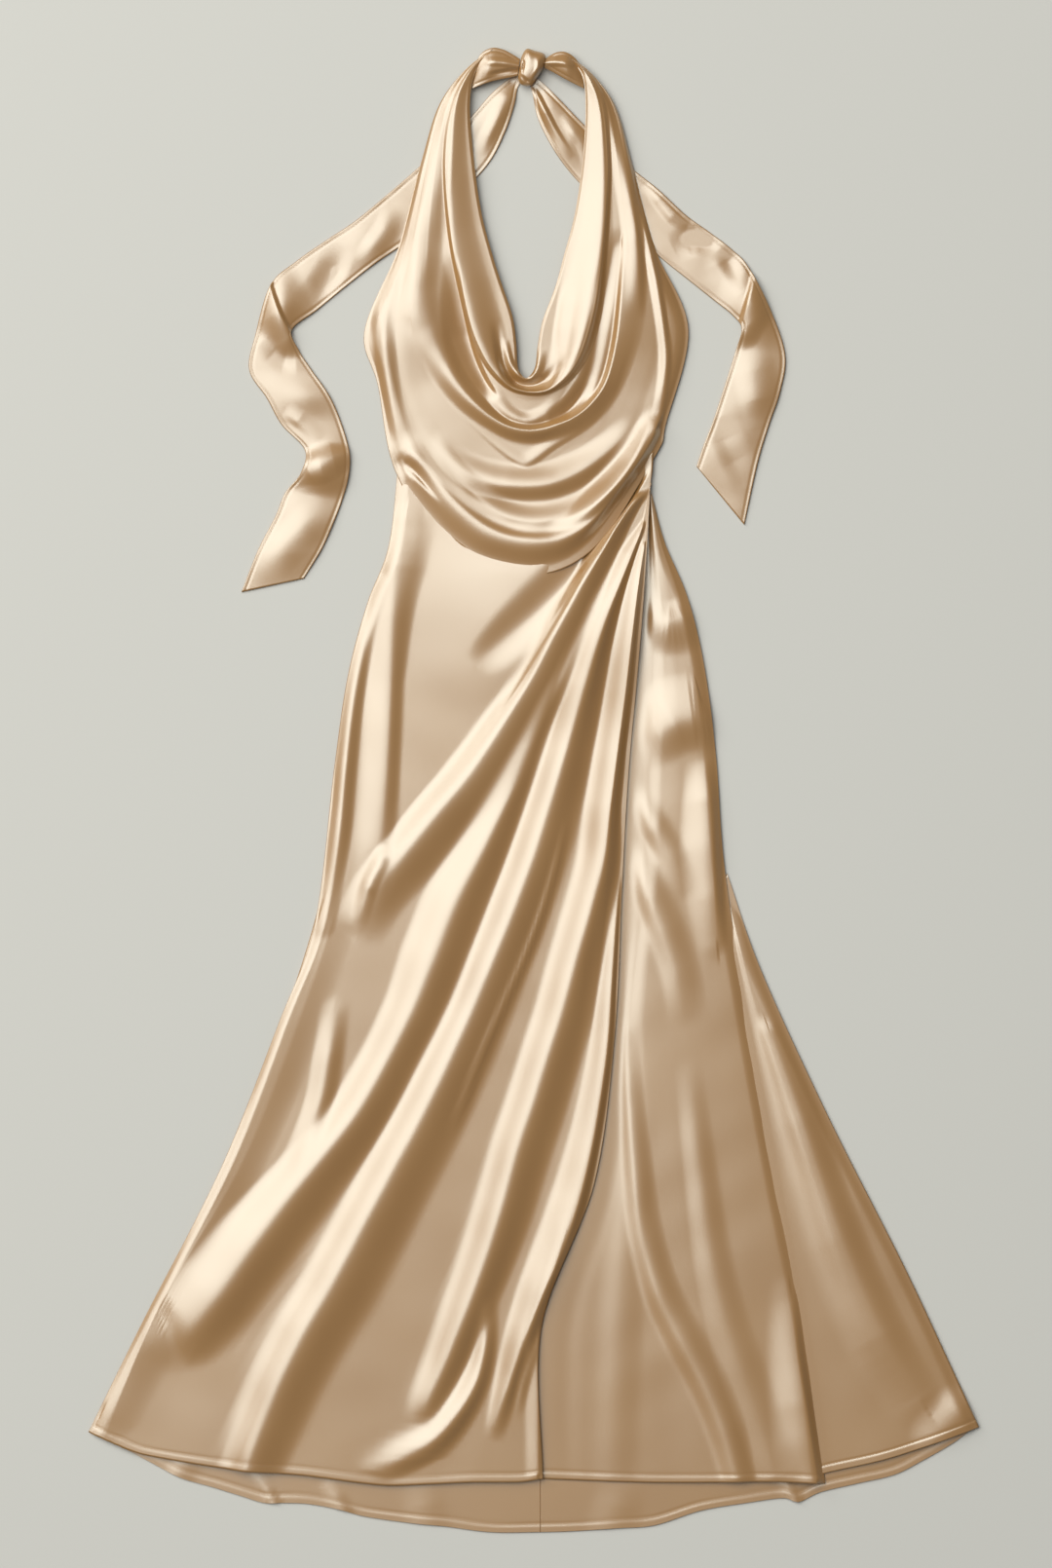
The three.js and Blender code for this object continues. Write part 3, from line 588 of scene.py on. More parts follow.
GODET_FOLDS = softened([
    dict(fold="flare", x=[790, 822, 862, 905, 942], down=[1060, 1150, 1270, 1370, 1432],
         rise=[1, 3, 3.5, 3, 1], right=[20, 36, 44, 46, 40], left=[14, 22, 28, 30, 26]),
    dict(fold="corner", x=[985, 965], down=[1452, 1474], rise=[2.5, 2], right=34, left=30),
], gain=1.4)
print("under-skirt: %d folds, godet: %d" % (len(UNDER_FOLDS), len(GODET_FOLDS)))

# %% Under-skirt: the cloth
HIDDEN, SHOWN_OVER = 1, 1.2


def in_view(across):
    """Nought over the first step across, which the panel above hides, then up to 1."""
    return ease((across[:, None] - HIDDEN) / SHOWN_OVER)


across = spread(len(UNDER_SKIRT) - 1, 150, dense_end=6, margin=0.3)
along = spread(9, 220, dense_end=12, margin=0.16)
x, down = lay_out(UNDER_SKIRT, across, along)
level = levels(UNDER_SKIRT, across)
height = (level + (folded(x, down, UNDER_FOLDS) + ripple(x, down, 7, 80, 0.15)) * in_view(across)
          - rim(gap_to(x, down, "last row")) + hem_band(gap_to(x, down, "last column")))
shell("under_skirt_cloth", from_plan(x, down, np.maximum(height, LOWEST_HEM)), "front_under_skirt")

# %% Godet: the cloth
across = spread(len(GODET) - 1, 80, dense_end=6, margin=0.3)
along = spread(5, 160, dense_end=12, margin=0.12)
x, down = lay_out(GODET, across, along)
level = levels(GODET, across)
rising = 0.35 + 0.65 * ease(along / 0.9)  # thin at its point in the side seam
relief = (folded(x, down, GODET_FOLDS) + ripple(x, down, 9, 90, 0.15)) * in_view(across)
height = ((level + relief) * rising - rim(gap_to(x, down, "last row"))
          + hem_band(gap_to(x, down, "last column")))
shell("godet_cloth", from_plan(x, down, np.maximum(height, LOWEST_HEM)), "side_godet")

# %% [markdown]
# ## The cowl bodice
#
# The front is cut on the bias, in one with both halter straps. Between the straps it has more
# cloth than it needs, and the spare width hangs in nested folds: a roll along the neckline,
# then a second, a third and so on down to the waist. On the straps the lines of the table run
# side by side, so there it says only how far across the strap each one lies.

# %% Bodice: the straps and the lines drawn on its cloth
STRAPS = dict(
    right=dict(neck=dict(x=[506, 488, 482.5, 486.5, 494.5, 506], down=[54, 76, 110, 165, 220, 264]),
               outer=dict(x=[505, 475, 450, 433, 418, 406], down=[50.5, 75, 110, 165, 222, 263])),
    left=dict(neck=dict(x=[580, 597, 601, 598, 590, 579], down=[57.5, 78, 112, 165, 220, 262]),
              outer=dict(x=[579, 608, 632, 648, 662, 675], down=[54.6, 77, 110, 165, 220, 262])),
)
COWL = [
    dict(line="neck edge", level=10, top=0, low=0,
         x=[515, 526, 530, 532, 540, 549, 552, 557, 570],
         down=[292, 325, 352, 378, 389, 378, 355, 330, 295]),
    dict(line="neck hollow", level=10, top=0.14, low=0.1,
         x=[505, 516, 520, 525, 541, 559, 564, 569, 580],
         down=[295, 329, 358, 386, 397, 388, 360, 333, 298]),
    dict(line="roll crest", level=11.5, top=0.48, low=0.36,
         x=[479, 490, 503, 520, 541, 566, 583, 594, 604],
         down=[296, 338, 366, 390, 403, 396, 370, 345, 302]),
    dict(line="roll foot", level=10.5, top=0.6, low=0.43,
         x=[470, 480, 493, 513, 542, 569, 589, 602, 613],
         down=[298, 339, 371, 399, 413, 404, 376, 342, 303]),
    dict(line="second crest", level=10, top=0.66, low=0.52,
         x=[462, 473, 494, 516, 541, 563, 581, 603, 618],
         down=[302, 345, 385, 418, 435, 427, 402, 368, 318]),
    dict(line="second foot", level=10, top=0.7, low=0.57,
         x=[455, 466, 487, 511, 541, 569, 593, 610, 623],
         down=[304, 349, 393, 425, 440, 431, 404, 370, 322]),
    dict(line="third crest", level=9.8, top=0.76, low=0.66,
         x=[440, 451, 474, 502, 543, 587, 613, 626, 632],
         down=[308, 350, 390, 426, 447, 431, 402, 368, 326]),
    dict(line="third valley", level=9.4, top=0.8, low=0.7,
         x=[431, 440, 462, 497, 541, 592, 622, 639, 648],
         down=[312, 370, 408, 444, 474, 446, 411, 374, 330]),
    dict(line="fourth crest", level=9, top=0.83, low=0.74,
         x=[425, 433, 456, 499, 541, 582, 615, 640, 656],
         down=[316, 377, 423, 466, 482, 467, 440, 384, 334]),
    dict(line="fifth crest", level=8.6, top=0.86, low=0.79,
         x=[418, 427, 452, 495, 541, 585, 622, 648, 663],
         down=[320, 383, 438, 481, 495, 482, 454, 394, 336]),
    dict(line="fifth valley", level=8.3, top=0.89, low=0.83,
         x=[412, 419, 444, 489, 541, 590, 630, 657, 671],
         down=[325, 387, 452, 497, 511, 495, 460, 402, 338]),
    dict(line="sixth crest", level=8, top=0.92, low=0.87,
         x=[406, 411, 436, 484, 541, 594, 638, 665, 679],
         down=[330, 389, 460, 509, 533, 514, 467, 409, 339]),
    dict(line="sixth valley", level=8, top=0.95, low=0.92,
         x=[398, 405, 428, 478, 541, 599, 646, 671, 687],
         down=[333, 391, 466, 522, 549, 529, 473, 416, 340]),
    dict(line="seventh crest", level=7, top=0.975, low=0.96,
         x=[388, 398, 419, 470, 541, 604, 656, 678, 697],
         down=[337, 393, 473, 534, 564, 543, 475, 423, 340]),
    dict(line="side and waist edge", level=4.6, top=1, low=1,
         x=[374, 388, 406, 459, 536, 608, 673, 684, 706.7],
         down=[341, 396, 484, 564, 592, 565, 468, 434, 339]),
]
print("bodice: %d lines" % len(COWL))

# %% Bodice: its folds
BODICE_FOLDS = softened([
    dict(fold="hollow behind the rim", firm=True, x=[508, 513, 518, 527, 540, 554, 566, 574],
         down=[330, 358, 378, 391, 396, 394, 385, 372], rise=[0, -2, -4, -5, -4.5, -3, -1, 0], right=7,
         left=7),
    dict(fold="second roll", firm=True,
         x=[436, 442, 452, 464, 477, 490, 505, 522, 541, 560, 578, 592, 604, 613, 620, 626, 632, 637],
         down=[300, 340, 366, 388, 405, 418, 430, 439, 443, 441, 434, 425, 412, 395, 372, 340, 300, 260],
         rise=[0, 1.5, 3, 4, 4.5, 5, 5, 5, 5, 5, 5, 5, 5, 5, 4.5, 4, 2.5, 1],
         right=[30, 26, 22, 20, 18, 16, 14, 14, 14, 14, 16, 18, 22, 26, 30, 34, 34, 30],
         left=[20, 20, 18, 16, 14, 12, 10, 8, 8, 8, 8, 9, 12, 14, 14, 14, 12, 10]),
    dict(fold="right strap", x=[448, 440, 432, 427, 424], down=[150, 200, 240, 285, 320],
         rise=[0, 2, 2.5, 2.5, 1], right=18, left=26),
    dict(fold="right side", x=[390, 394, 398, 406, 418], down=[320, 355, 395, 430, 460],
         rise=[1, 2, 2, 1, 0], right=12, left=14),
    dict(fold="left strap", x=[634, 641, 648, 653, 655, 654], down=[120, 160, 205, 245, 285, 325],
         rise=[0, 2, 3, 3, 2, 0], right=16, left=9),
    dict(fold="left side", x=[655, 664, 672, 680, 684, 680, 672],
         down=[200, 240, 280, 330, 370, 410, 450], rise=[0, 1.5, 2, 2, 2, 1, 0], right=9, left=6),
    dict(fold="pinch below the second roll", x=[462, 478, 496, 512, 528, 540, 552, 568, 588, 606, 622],
         down=[412, 428, 445, 459, 471, 476, 469, 457, 445, 433, 418],
         rise=[0, 0.4, 0.6, 0.8, 0.9, 0.9, 0.9, 0.8, 0.7, 0.5, 0], right=6, left=12),
    dict(fold="fourth roll", x=[446, 462, 482, 504, 522, 543, 564, 584, 604, 625, 640, 652],
         down=[448, 470, 486, 495, 498, 499, 497, 490, 479, 463, 449, 435],
         rise=[0, 1.5, 3, 4, 4.5, 4.5, 4.5, 4, 3.5, 2.5, 1.5, 0],
         right=[14, 16, 18, 18, 18, 18, 18, 18, 16, 14, 12, 10],
         left=[14, 18, 22, 24, 24, 24, 24, 24, 22, 20, 18, 14]),
    dict(fold="fifth roll", x=[432, 443, 460, 479, 499, 520, 543, 565, 586, 606, 625, 643, 656, 666],
         down=[430, 458, 484, 504, 520, 531, 536, 535, 530, 520, 505, 485, 463, 436],
         rise=[0, 0.5, 1.5, 3, 3.5, 3.5, 3.5, 3.5, 3.5, 3.5, 3.5, 3, 1.5, 0],
         right=[14, 14, 14, 14, 14, 14, 14, 14, 14, 12, 10, 9, 9, 9],
         left=[20, 20, 20, 20, 20, 20, 20, 20, 20, 20, 18, 18, 16, 14]),
    dict(fold="waist roll", x=[409, 422, 438, 456, 476, 497, 520, 545, 568, 588, 606, 624, 642, 658, 672],
         down=[462, 470, 486, 506, 527, 543, 553, 557, 556, 549, 537, 517, 494, 470, 444],
         rise=[0, 3, 4.5, 5.5, 6, 6, 6, 6, 5.5, 6, 7, 7.5, 7.5, 7, 5],
         right=[22, 24, 28, 30, 30, 30, 28, 28, 24, 18, 12, 9, 8, 8, 8],
         left=[26, 26, 26, 24, 22, 20, 18, 18, 18, 22, 26, 28, 28, 26, 22]),
], gain=1.25) + [
    dict(fold="neckline roll", x=[478, 463, 458, 459, 463, 469, 477, 487, 499, 512, 525, 538, 550, 562,
         574, 585, 595, 603, 610, 615, 619, 622, 623, 618, 604], down=[75, 120, 160, 200, 240, 275, 310,
         345, 371, 388, 399, 403, 404, 402, 395, 384, 366, 343, 316, 284, 245, 205, 165, 110, 76],
         rise=[0.5, 1.5, 2.2, 2.8, 3, 3.4, 4.5, 6, 7, 6.9, 5, 4.4, 4.4, 5, 6.2, 7.5, 8.8, 9.4, 9, 7, 5, 4,
         3, 2, 0.5], right=[4, 4, 4, 4, 4, 4, 4, 4, 4, 4, 3, 3, 3, 3, 4, 6, 9, 10, 9, 7, 6, 5, 5, 5, 5],
         left=[20, 26, 30, 32, 34, 36, 36, 34, 28, 20, 8, 6, 6, 6, 12, 18, 26, 34, 40, 40, 38, 34, 30, 26,
         20]),
    dict(fold="neckline rim", x=[519, 524, 531, 540, 547, 552, 556],
         down=[348, 371, 383, 388, 386, 378, 358], rise=[0, 2, 3, 3.5, 3, 2, 0], right=8, left=4),
    dict(fold="left inside crease", x=[586, 580, 576, 574, 571], down=[290, 315, 340, 362, 385],
         rise=[0, 1.2, 1.6, 1.2, 0], right=9, left=10),
    dict(fold="right pocket under the roll", x=[466, 472, 480, 488, 498, 510],
         down=[262, 305, 343, 370, 392, 410], rise=[0, -3, -6, -6, -5, 0], right=[14, 22, 28, 26, 18, 12],
         left=5),
    dict(fold="left pocket under the roll", x=[637, 633, 627, 617, 602, 584, 564],
         down=[235, 295, 350, 390, 412, 426, 433], rise=[0, -4, -7, -9, -9, -6, 0],
         right=[14, 18, 22, 24, 22, 18, 14], left=6),
    dict(fold="lining of the pocket", x=[503, 510, 519, 530, 541, 552, 563, 574],
         down=[398, 410, 422, 430, 433, 430, 423, 412], rise=[0, 1, 1.8, 2.2, 2.2, 1.8, 1, 0], right=9,
         left=11),
    dict(fold="notch at the right side", x=[408, 420, 434, 452], down=[479, 481, 493, 514],
         rise=[-3, -4, -3, 0], right=5, left=[12, 14, 16, 14]),
]
BUST = [dict(middle=(424, 322), radii=(46, 80), rise=4.5), dict(middle=(652, 330), radii=(48, 80), rise=3)]
print("bodice: %d folds" % len(BODICE_FOLDS))

# %% Bodice: its two straps and the cloth between them
CROWN_REACH, CROWN_RISE, CROWN_HOLD = 4.0, 4.0, 1.5
NECK_WIDTH, NECK_DROP = 3, 1.2


def bodice_lines():
    """The bodice's lines, with their places on the two straps before and after the cowl's."""

    def on_strap(strap, line, key):
        """Neck edge plus a share of the way to the outer edge, a share that drifts along the strap."""
        neck, outer = np.array(strap["neck"][key], float), np.array(strap["outer"][key], float)
        return neck + (outer - neck) * np.linspace(line["top"], line["low"], len(neck))

    return [
        {key: np.concatenate([on_strap(STRAPS["right"], line, key), line[key],
                              on_strap(STRAPS["left"], line, key)[::-1]]) for key in ("x", "down")}
        for line in COWL
    ]


lines = bodice_lines()
last = len(lines[0]["x"]) - 1
across = spread(len(lines) - 1, 190, dense_start=6, dense_end=6, margin=0.3)
along = np.linspace(0, last, 231)
x, down = lay_out(lines, across, along)
level = levels(COWL, across)
from_crown = np.minimum(along, last - along)
crown = 1 - ease(from_crown / CROWN_REACH)
free = ease(from_crown / CROWN_HOLD)  # the folds start a little way down from each crown
WAIST, WAIST_BLEND = 440, 30
side = 1 - ease((down - WAIST) / WAIST_BLEND)  # 1 along the armholes, nought along the waist
height = (level + CROWN_RISE * crown + folded(x, down, BODICE_FOLDS) * free
          + sum(swell(x, down, **mound) for mound in [*BUST, HIP]) + ripple(x, down, 3, 60, 0.1)
          - rim(gap_to(x, down, "last row")) * side
          - NECK_DROP * (1 - ease(gap_to(x, down, "first row") / NECK_WIDTH)))
shell("bodice_cloth", from_plan(x, down, pressed(height)), "front_bodice", sewn=())

# %% [markdown]
# ## The back
#
# The back lies flat under everything, and only a strip of it shows, below the front hem. Each
# half is a sheet stretched over its four edges: low back, side seam, hem and centre back.

# %% Back: the four edges of each half
BACK_HALVES = dict(
    right=dict(
        low_back=dict(x=[381, 400, 440, 500, 554.9], down=[352, 385, 425, 458, 470]),
        side=dict(x=[381, 391, 409, 411, 402, 380, 360, 346, 332, 289, 230, 152, 95],
                  down=[352, 392, 478, 515, 561, 620, 695, 790, 910, 1051, 1199, 1352, 1469]),
        hem=dict(x=[95, 126, 156, 185, 219, 248, 271, 290, 316, 349, 375, 424, 456, 504, 554.9],
                 down=[1469, 1486, 1502, 1517, 1527, 1536, 1543, 1543, 1544, 1550, 1557, 1564, 1567,
                       1573, 1573]),
    ),
    left=dict(
        low_back=dict(x=[699, 680, 650, 610, 555.1], down=[352, 385, 425, 458, 470]),
        side=dict(x=[699, 690, 681, 669, 665, 677, 702, 720, 732, 741, 778, 847, 923, 971, 1001],
                  down=[352, 392, 434, 470, 510, 556, 614, 684, 776, 892, 1000, 1148, 1298, 1400, 1464]),
        hem=dict(x=[1001, 979, 946, 918, 880, 842, 820, 804, 766, 719, 672, 634, 587, 555.1],
                 down=[1464, 1481, 1500, 1514, 1523, 1532, 1542, 1538, 1543, 1551, 1566, 1569, 1572,
                       1573]),
    ),
)

SEAM_TURN = 0.8  # plan units, so that the edge at the centre back seam shows as a thin line


def edge_curve(edge, count):
    """Even steps along an edge and a narrow last one, which keeps the turn at a seam narrow."""
    u = np.linspace(0, len(edge["x"]) - 1, 12 * len(edge["x"]))
    x, down = through(edge["x"], u, smooth_slopes), through(edge["down"], u, smooth_slopes)
    length = np.concatenate([[0], np.cumsum(np.hypot(np.diff(x), np.diff(down)))])
    even = np.append(np.linspace(0, length[-1] - SEAM_TURN, count - 1), length[-1])
    return np.stack([np.interp(even, length, x), np.interp(even, length, down)], -1)


def stretched(top, bottom, left, right, downward):
    """A sheet over four edges: the mean of both ways across, less the flat corner sheet."""
    v = downward[:, None, None]
    u = np.linspace(0, 1, len(top))[None, :, None]
    rows = np.linspace(0, 1, len(left))
    left = np.stack([np.interp(downward, rows, left[:, k]) for k in (0, 1)], -1)[:, None]
    right = np.stack([np.interp(downward, rows, right[:, k]) for k in (0, 1)], -1)[:, None]
    corners = (1 - v) * ((1 - u) * top[0] + u * top[-1]) + v * ((1 - u) * bottom[0] + u * bottom[-1])
    return (1 - v) * top + v * bottom + (1 - u) * left + u * right - corners


# %% Back: the cloth
BACK_TOP, BACK_THICKNESS = 1.4, 1.2 * MM
BACK_ACROSS, BACK_SIDE, BACK_ROWS = 100, 160, 150
BACK_FOLDS = [
    dict(fold="right tuck", x=[262, 276, 283], down=[1512, 1530, 1545], rise=[0, 1.6, 2], right=10,
         left=6),
    dict(fold="second right tuck", x=[334, 345, 352], down=[1520, 1536, 1551], rise=[0, 1.2, 1.5],
         right=14, left=12),
    dict(fold="left tuck", x=[818, 812, 800], down=[1542, 1530, 1512], rise=[2, 1.6, 0], right=7,
         left=12),
    dict(fold="right wave", x=[430, 436, 440], down=[1515, 1545, 1568], rise=[0, 0.8, 0.8], right=26,
         left=26),
    dict(fold="left wave", x=[640, 634, 628], down=[1515, 1545, 1570], rise=[0, 0.8, 0.8], right=30,
         left=30),
    dict(fold="outer right wave", x=[196, 188, 182], down=[1490, 1506, 1516], rise=[0, 0.8, 0.8],
         right=16, left=20),
]
for side, edges in BACK_HALVES.items():
    top = edge_curve(edges["low_back"], BACK_ACROSS)
    bottom = edge_curve(edges["hem"], BACK_ACROSS)
    outer = edge_curve(edges["side"], BACK_SIDE)
    centre = np.stack([np.full(BACK_SIDE, top[-1, 0]),
                       np.linspace(top[-1, 1], bottom[-1, 1], BACK_SIDE)], -1)
    downward = 1 - np.linspace(1, 0, BACK_ROWS) ** 1.6  # the rows lie closer towards the hem
    sheet = stretched(top, bottom, outer, centre, downward)
    x, down = sheet[..., 0], sheet[..., 1]
    height = BACK_TOP + hem_band(gap_to(x, down, "last row")) + folded(x, down, BACK_FOLDS)
    shell("back_%s_cloth" % side, from_plan(x, down, height), "back_%s" % side, BACK_THICKNESS,
          sewn=("last row",))

# %% [markdown]
# ## Ribbons: the ties and the neck bands
#
# Past the crown each strap narrows to a band that runs to the knot behind the neck, and past
# the knot it is a tie. A ribbon is known by its two long edges and the height between them.

# %% Ribbons: their edges
TIE_RIGHT = dict(
    a=dict(x=[538, 524, 505, 485, 462, 432, 400, 365, 338, 305, 278, 262, 256, 274, 289, 313, 309,
              293, 283, 265, 248],
           down=[70, 80, 96, 119, 142, 170, 198, 227, 245, 268, 293, 345, 380, 409, 436, 462, 486,
                 506, 530, 565, 608]),
    b=dict(x=[541, 532, 528, 518, 500, 462, 425, 385, 353, 325, 300, 307, 320, 338, 350, 359, 358,
              351, 341, 330, 312],
           down=[79, 89, 108, 137, 170, 210, 243, 271, 296, 319, 339, 360, 380, 406, 433, 465, 490,
                 515, 541, 565, 594]),
    height=[1.5, 1.5, 5, 4, 1.5, 1.5, 1.5, 4, 3, 4, 9, 5, 4, 6, 4, 6, 9, 4, 5, 5, 2],
)
TIE_LEFT = dict(
    a=dict(x=[548, 560, 576, 598, 622, 651, 676, 704, 729, 752, 768, 790, 806, 801, 790, 778, 764],
           down=[78, 88, 104, 127, 150, 175, 195, 221, 239, 257, 274, 316, 364, 402, 435, 475, 539]),
    b=dict(x=[543.5, 547, 553, 571, 594, 626, 655, 681, 706, 731, 752, 761, 755, 742, 731, 722, 715],
           down=[85, 98, 124, 158, 187, 218, 243, 267, 287, 307, 324, 338, 361, 402, 435, 458, 479]),
    height=[1.5, 1.5, 5, 4, 1.5, 1.5, 1.5, 2, 3, 4, 7, 8, 4, 5, 4, 4, 2],
)
NECK_BAND_RIGHT = dict(
    a=dict(x=[485.5, 494, 505, 516, 526, 534], down=[72, 56.5, 50.6, 52, 57, 62]),
    b=dict(x=[484.5, 493, 503, 513, 523, 531.5], down=[92, 89, 85.5, 83, 81, 79]),
    height=[9, 14, 17, 16, 15, 14],
)
NECK_BAND_LEFT = dict(
    a=dict(x=[598.5, 590, 581, 572.5, 566, 560], down=[72, 60.5, 55, 54.8, 57.5, 61.5]),
    b=dict(x=[599.5, 590, 581, 573, 566, 558.9], down=[92, 87.5, 83, 78.5, 74.5, 71]),
    height=[9, 14, 17, 16, 15, 14],
)
print("a tie's middle lies over", len(TIE_RIGHT["height"]), "and", len(TIE_LEFT["height"]), "places")

# %% Ribbons: their turns, dents and pleats
RIBBON_FOLDS = [
    dict(fold="turn of the right tie", x=[277, 279, 287, 299], down=[290, 300, 322, 344],
         rise=[3, 4, 4.5, 4], right=[30, 34, 34, 26], left=4),
    dict(fold="lower turn of the right tie", x=[300, 314, 328, 342, 358], down=[486, 478, 474, 470, 466],
         rise=[2, 4.5, 5, 4, 2], right=[18, 24, 26, 24, 16], left=[12, 16, 20, 18, 12]),
    dict(fold="right tie dent", x=[318, 332, 344, 352], down=[316, 296, 276, 252],
         rise=[0, -1.6, -1.8, 0], right=16, left=22),
    dict(fold="upper right tie dent", x=[372, 384, 396, 404], down=[272, 252, 234, 208],
         rise=[0, 1.6, 1.6, 0], right=18, left=14),
    dict(fold="right tie hollow", x=[268, 280, 292, 304], down=[352, 364, 372, 372],
         rise=[0, -1.5, -1.5, 0], right=16, left=18),
    dict(fold="right tie crease", x=[292, 306, 330], down=[424, 432, 452], rise=[0, 1.5, 0], right=9,
         left=14),
    dict(fold="right tie end", x=[336, 312, 290, 272], down=[516, 540, 562, 580], rise=[0, 1.2, 1.2, 0],
         right=20, left=26),
    dict(fold="right tail pucker", x=[494, 502, 512, 522], down=[160, 140, 120, 96],
         rise=[0, 1.4, 1.4, 0], right=9, left=12),
    dict(fold="turn of the left tie", x=[775, 772, 767, 760], down=[282, 296, 314, 338],
         rise=[3, 4.5, 5, 4], right=5, left=[26, 32, 32, 24]),
    dict(fold="left tie crease", x=[664, 676, 690, 706], down=[188, 204, 222, 232], rise=[0, 2, 2, 0],
         right=10, left=16),
    dict(fold="left tie dent", x=[690, 708, 726, 738], down=[254, 246, 250, 270], rise=[0, -1.8, -2, 0],
         right=20, left=18),
    dict(fold="left tie hollow", x=[738, 748, 756, 764], down=[256, 268, 282, 300],
         rise=[0, -1.5, -1.5, 0], right=14, left=20),
    dict(fold="left tie lower dent", x=[766, 772, 778, 786], down=[350, 380, 410, 440],
         rise=[0, 1.4, 1.6, 0], right=22, left=26),
    dict(fold="left tie end", x=[734, 744, 754, 768], down=[430, 452, 474, 500], rise=[0, -1.2, -1.2, 0],
         right=16, left=22),
    dict(fold="left tail rim", x=[546, 552, 560, 572, 588], down=[90, 100, 116, 138, 162],
         rise=[0, 2.5, 3, 1.5, 0], right=[6, 7, 8, 8, 8], left=[4, 5, 5, 5, 5]),
    dict(fold="left tail pucker", x=[578, 588, 598, 606], down=[118, 136, 150, 176],
         rise=[0, 1.5, 1.5, 0], right=8, left=12),
    dict(fold="right band pleat", x=[497, 508, 520, 533], down=[66, 66, 67, 69], rise=[0, 1.6, 2, 1.6],
         right=5, left=7),
    dict(fold="lower right band pleat", x=[500, 510, 521, 532], down=[80, 77, 75, 74],
         rise=[0, -1.4, -1.8, -1.4], right=4, left=4),
    dict(fold="left band pleat", x=[590, 580, 571, 560], down=[70, 67, 66, 66], rise=[0, 1.6, 2, 1.6],
         right=7, left=5),
]
print("ribbons: %d folds" % len(RIBBON_FOLDS))

# %% Ribbons: the cloth
TIE_SEAM, TIE_GROOVE, LOWEST_RIBBON, RIBBON_THICKNESS = 3.5, 0.35, 1.3, 1.2 * MM
RIBBON_ROWS, ARCH = 51, 0.6


def ribbon(places, rows, columns):
    """Plan x, plan down and height of a ribbon: straight from edge to edge, arched between.

    Height = lowest + rise * (1 - ARCH + ARCH * sin(half a turn * share of the way across)).
    """
    u = np.linspace(0, len(places["height"]) - 1, columns)
    share = np.linspace(0, 1, rows)[:, None]
    x, down = (
        through(places["a"][key], u, smooth_slopes) * (1 - share)
        + through(places["b"][key], u, smooth_slopes) * share
        for key in ("x", "down")
    )
    lowest = min(places["height"])
    rise = through(places["height"], u, level_slopes) - lowest
    return x, down, lowest + rise * (1 - ARCH + ARCH * np.sin(np.pi * share))


for name, node, places, count in (
    ("tie_right_cloth", "tie_right", TIE_RIGHT, 400),
    ("tie_left_cloth", "tie_left", TIE_LEFT, 340),
    ("neck_band_right_cloth", "neck_band_right", NECK_BAND_RIGHT, 60),
    ("neck_band_left_cloth", "neck_band_left", NECK_BAND_LEFT, 60),
):
    x, down, height = ribbon(places, RIBBON_ROWS, count)
    edge = np.minimum(gap_to(x, down, "first row"), gap_to(x, down, "last row"))
    lifted = (folded(x, down, RIBBON_FOLDS) + ripple(x, down, 11, 40, 0.12)
              - TIE_GROOVE * groove(edge, TIE_SEAM, 1.2))
    height = np.maximum(height + lifted, LOWEST_RIBBON)
    shell(name, from_plan(x, down, height), node, RIBBON_THICKNESS, bent=True,
          sewn=("first row", "last row"))

# %% [markdown]
# ## The knot
#
# The knot is a tight bundle wrapped once by the band. Its body is a flattened ball over the
# knot's own outline, with the wrap's edge as a step across it.

# %% Knot: the bundle
KNOT_OUTLINE = dict(
    x=[541, 549, 559, 560, 557, 552, 545, 537, 532, 532.5, 534, 536],
    down=[51.5, 53.5, 57, 64, 72, 80, 89, 89, 84, 76, 67, 58],
)
KNOT_MIDDLE = (546, 70.5)
KNOT_LOW, KNOT_TOP, KNOT_FOLDS_FROM = 1.8, 21, 8
KNOT_FOLDS = [
    dict(fold="left rim", x=[536, 534, 537], down=[56, 66, 78], rise=[0, 2, 0], right=3, left=3),
    dict(fold="loop slit", x=[538, 537, 536], down=[64, 71, 78], rise=[0, -2.5, 0], right=2, left=2),
    dict(fold="wrap crest", x=[552, 552, 546], down=[60, 72, 84], rise=[0, 1.5, 0], right=4, left=4),
    dict(fold="wrap step", x=[534, 541, 549], down=[79, 85, 87], rise=[0, -2, 0], right=2.5, left=2.5),
]


def knot_points(rings, sides):
    """Rings of the outline: size = sin(angle) ** 0.7, height falls with cos(angle)."""
    count = len(KNOT_OUTLINE["x"])
    u = 2 + np.linspace(0, count, sides)
    loop = [through(np.array(KNOT_OUTLINE[key][-2:] + KNOT_OUTLINE[key] + KNOT_OUTLINE[key][:3]), u,
                    smooth_slopes) for key in ("x", "down")]
    angle = np.linspace(0.02, np.pi - 0.02, rings)[:, None]
    size = np.sin(angle) ** 0.7
    x = KNOT_MIDDLE[0] + (loop[0] - KNOT_MIDDLE[0]) * size
    down = KNOT_MIDDLE[1] + (loop[1] - KNOT_MIDDLE[1]) * size
    height = KNOT_LOW + (KNOT_TOP - KNOT_LOW) * (1 + np.cos(angle)) / 2 + 0 * x
    return x, down, height


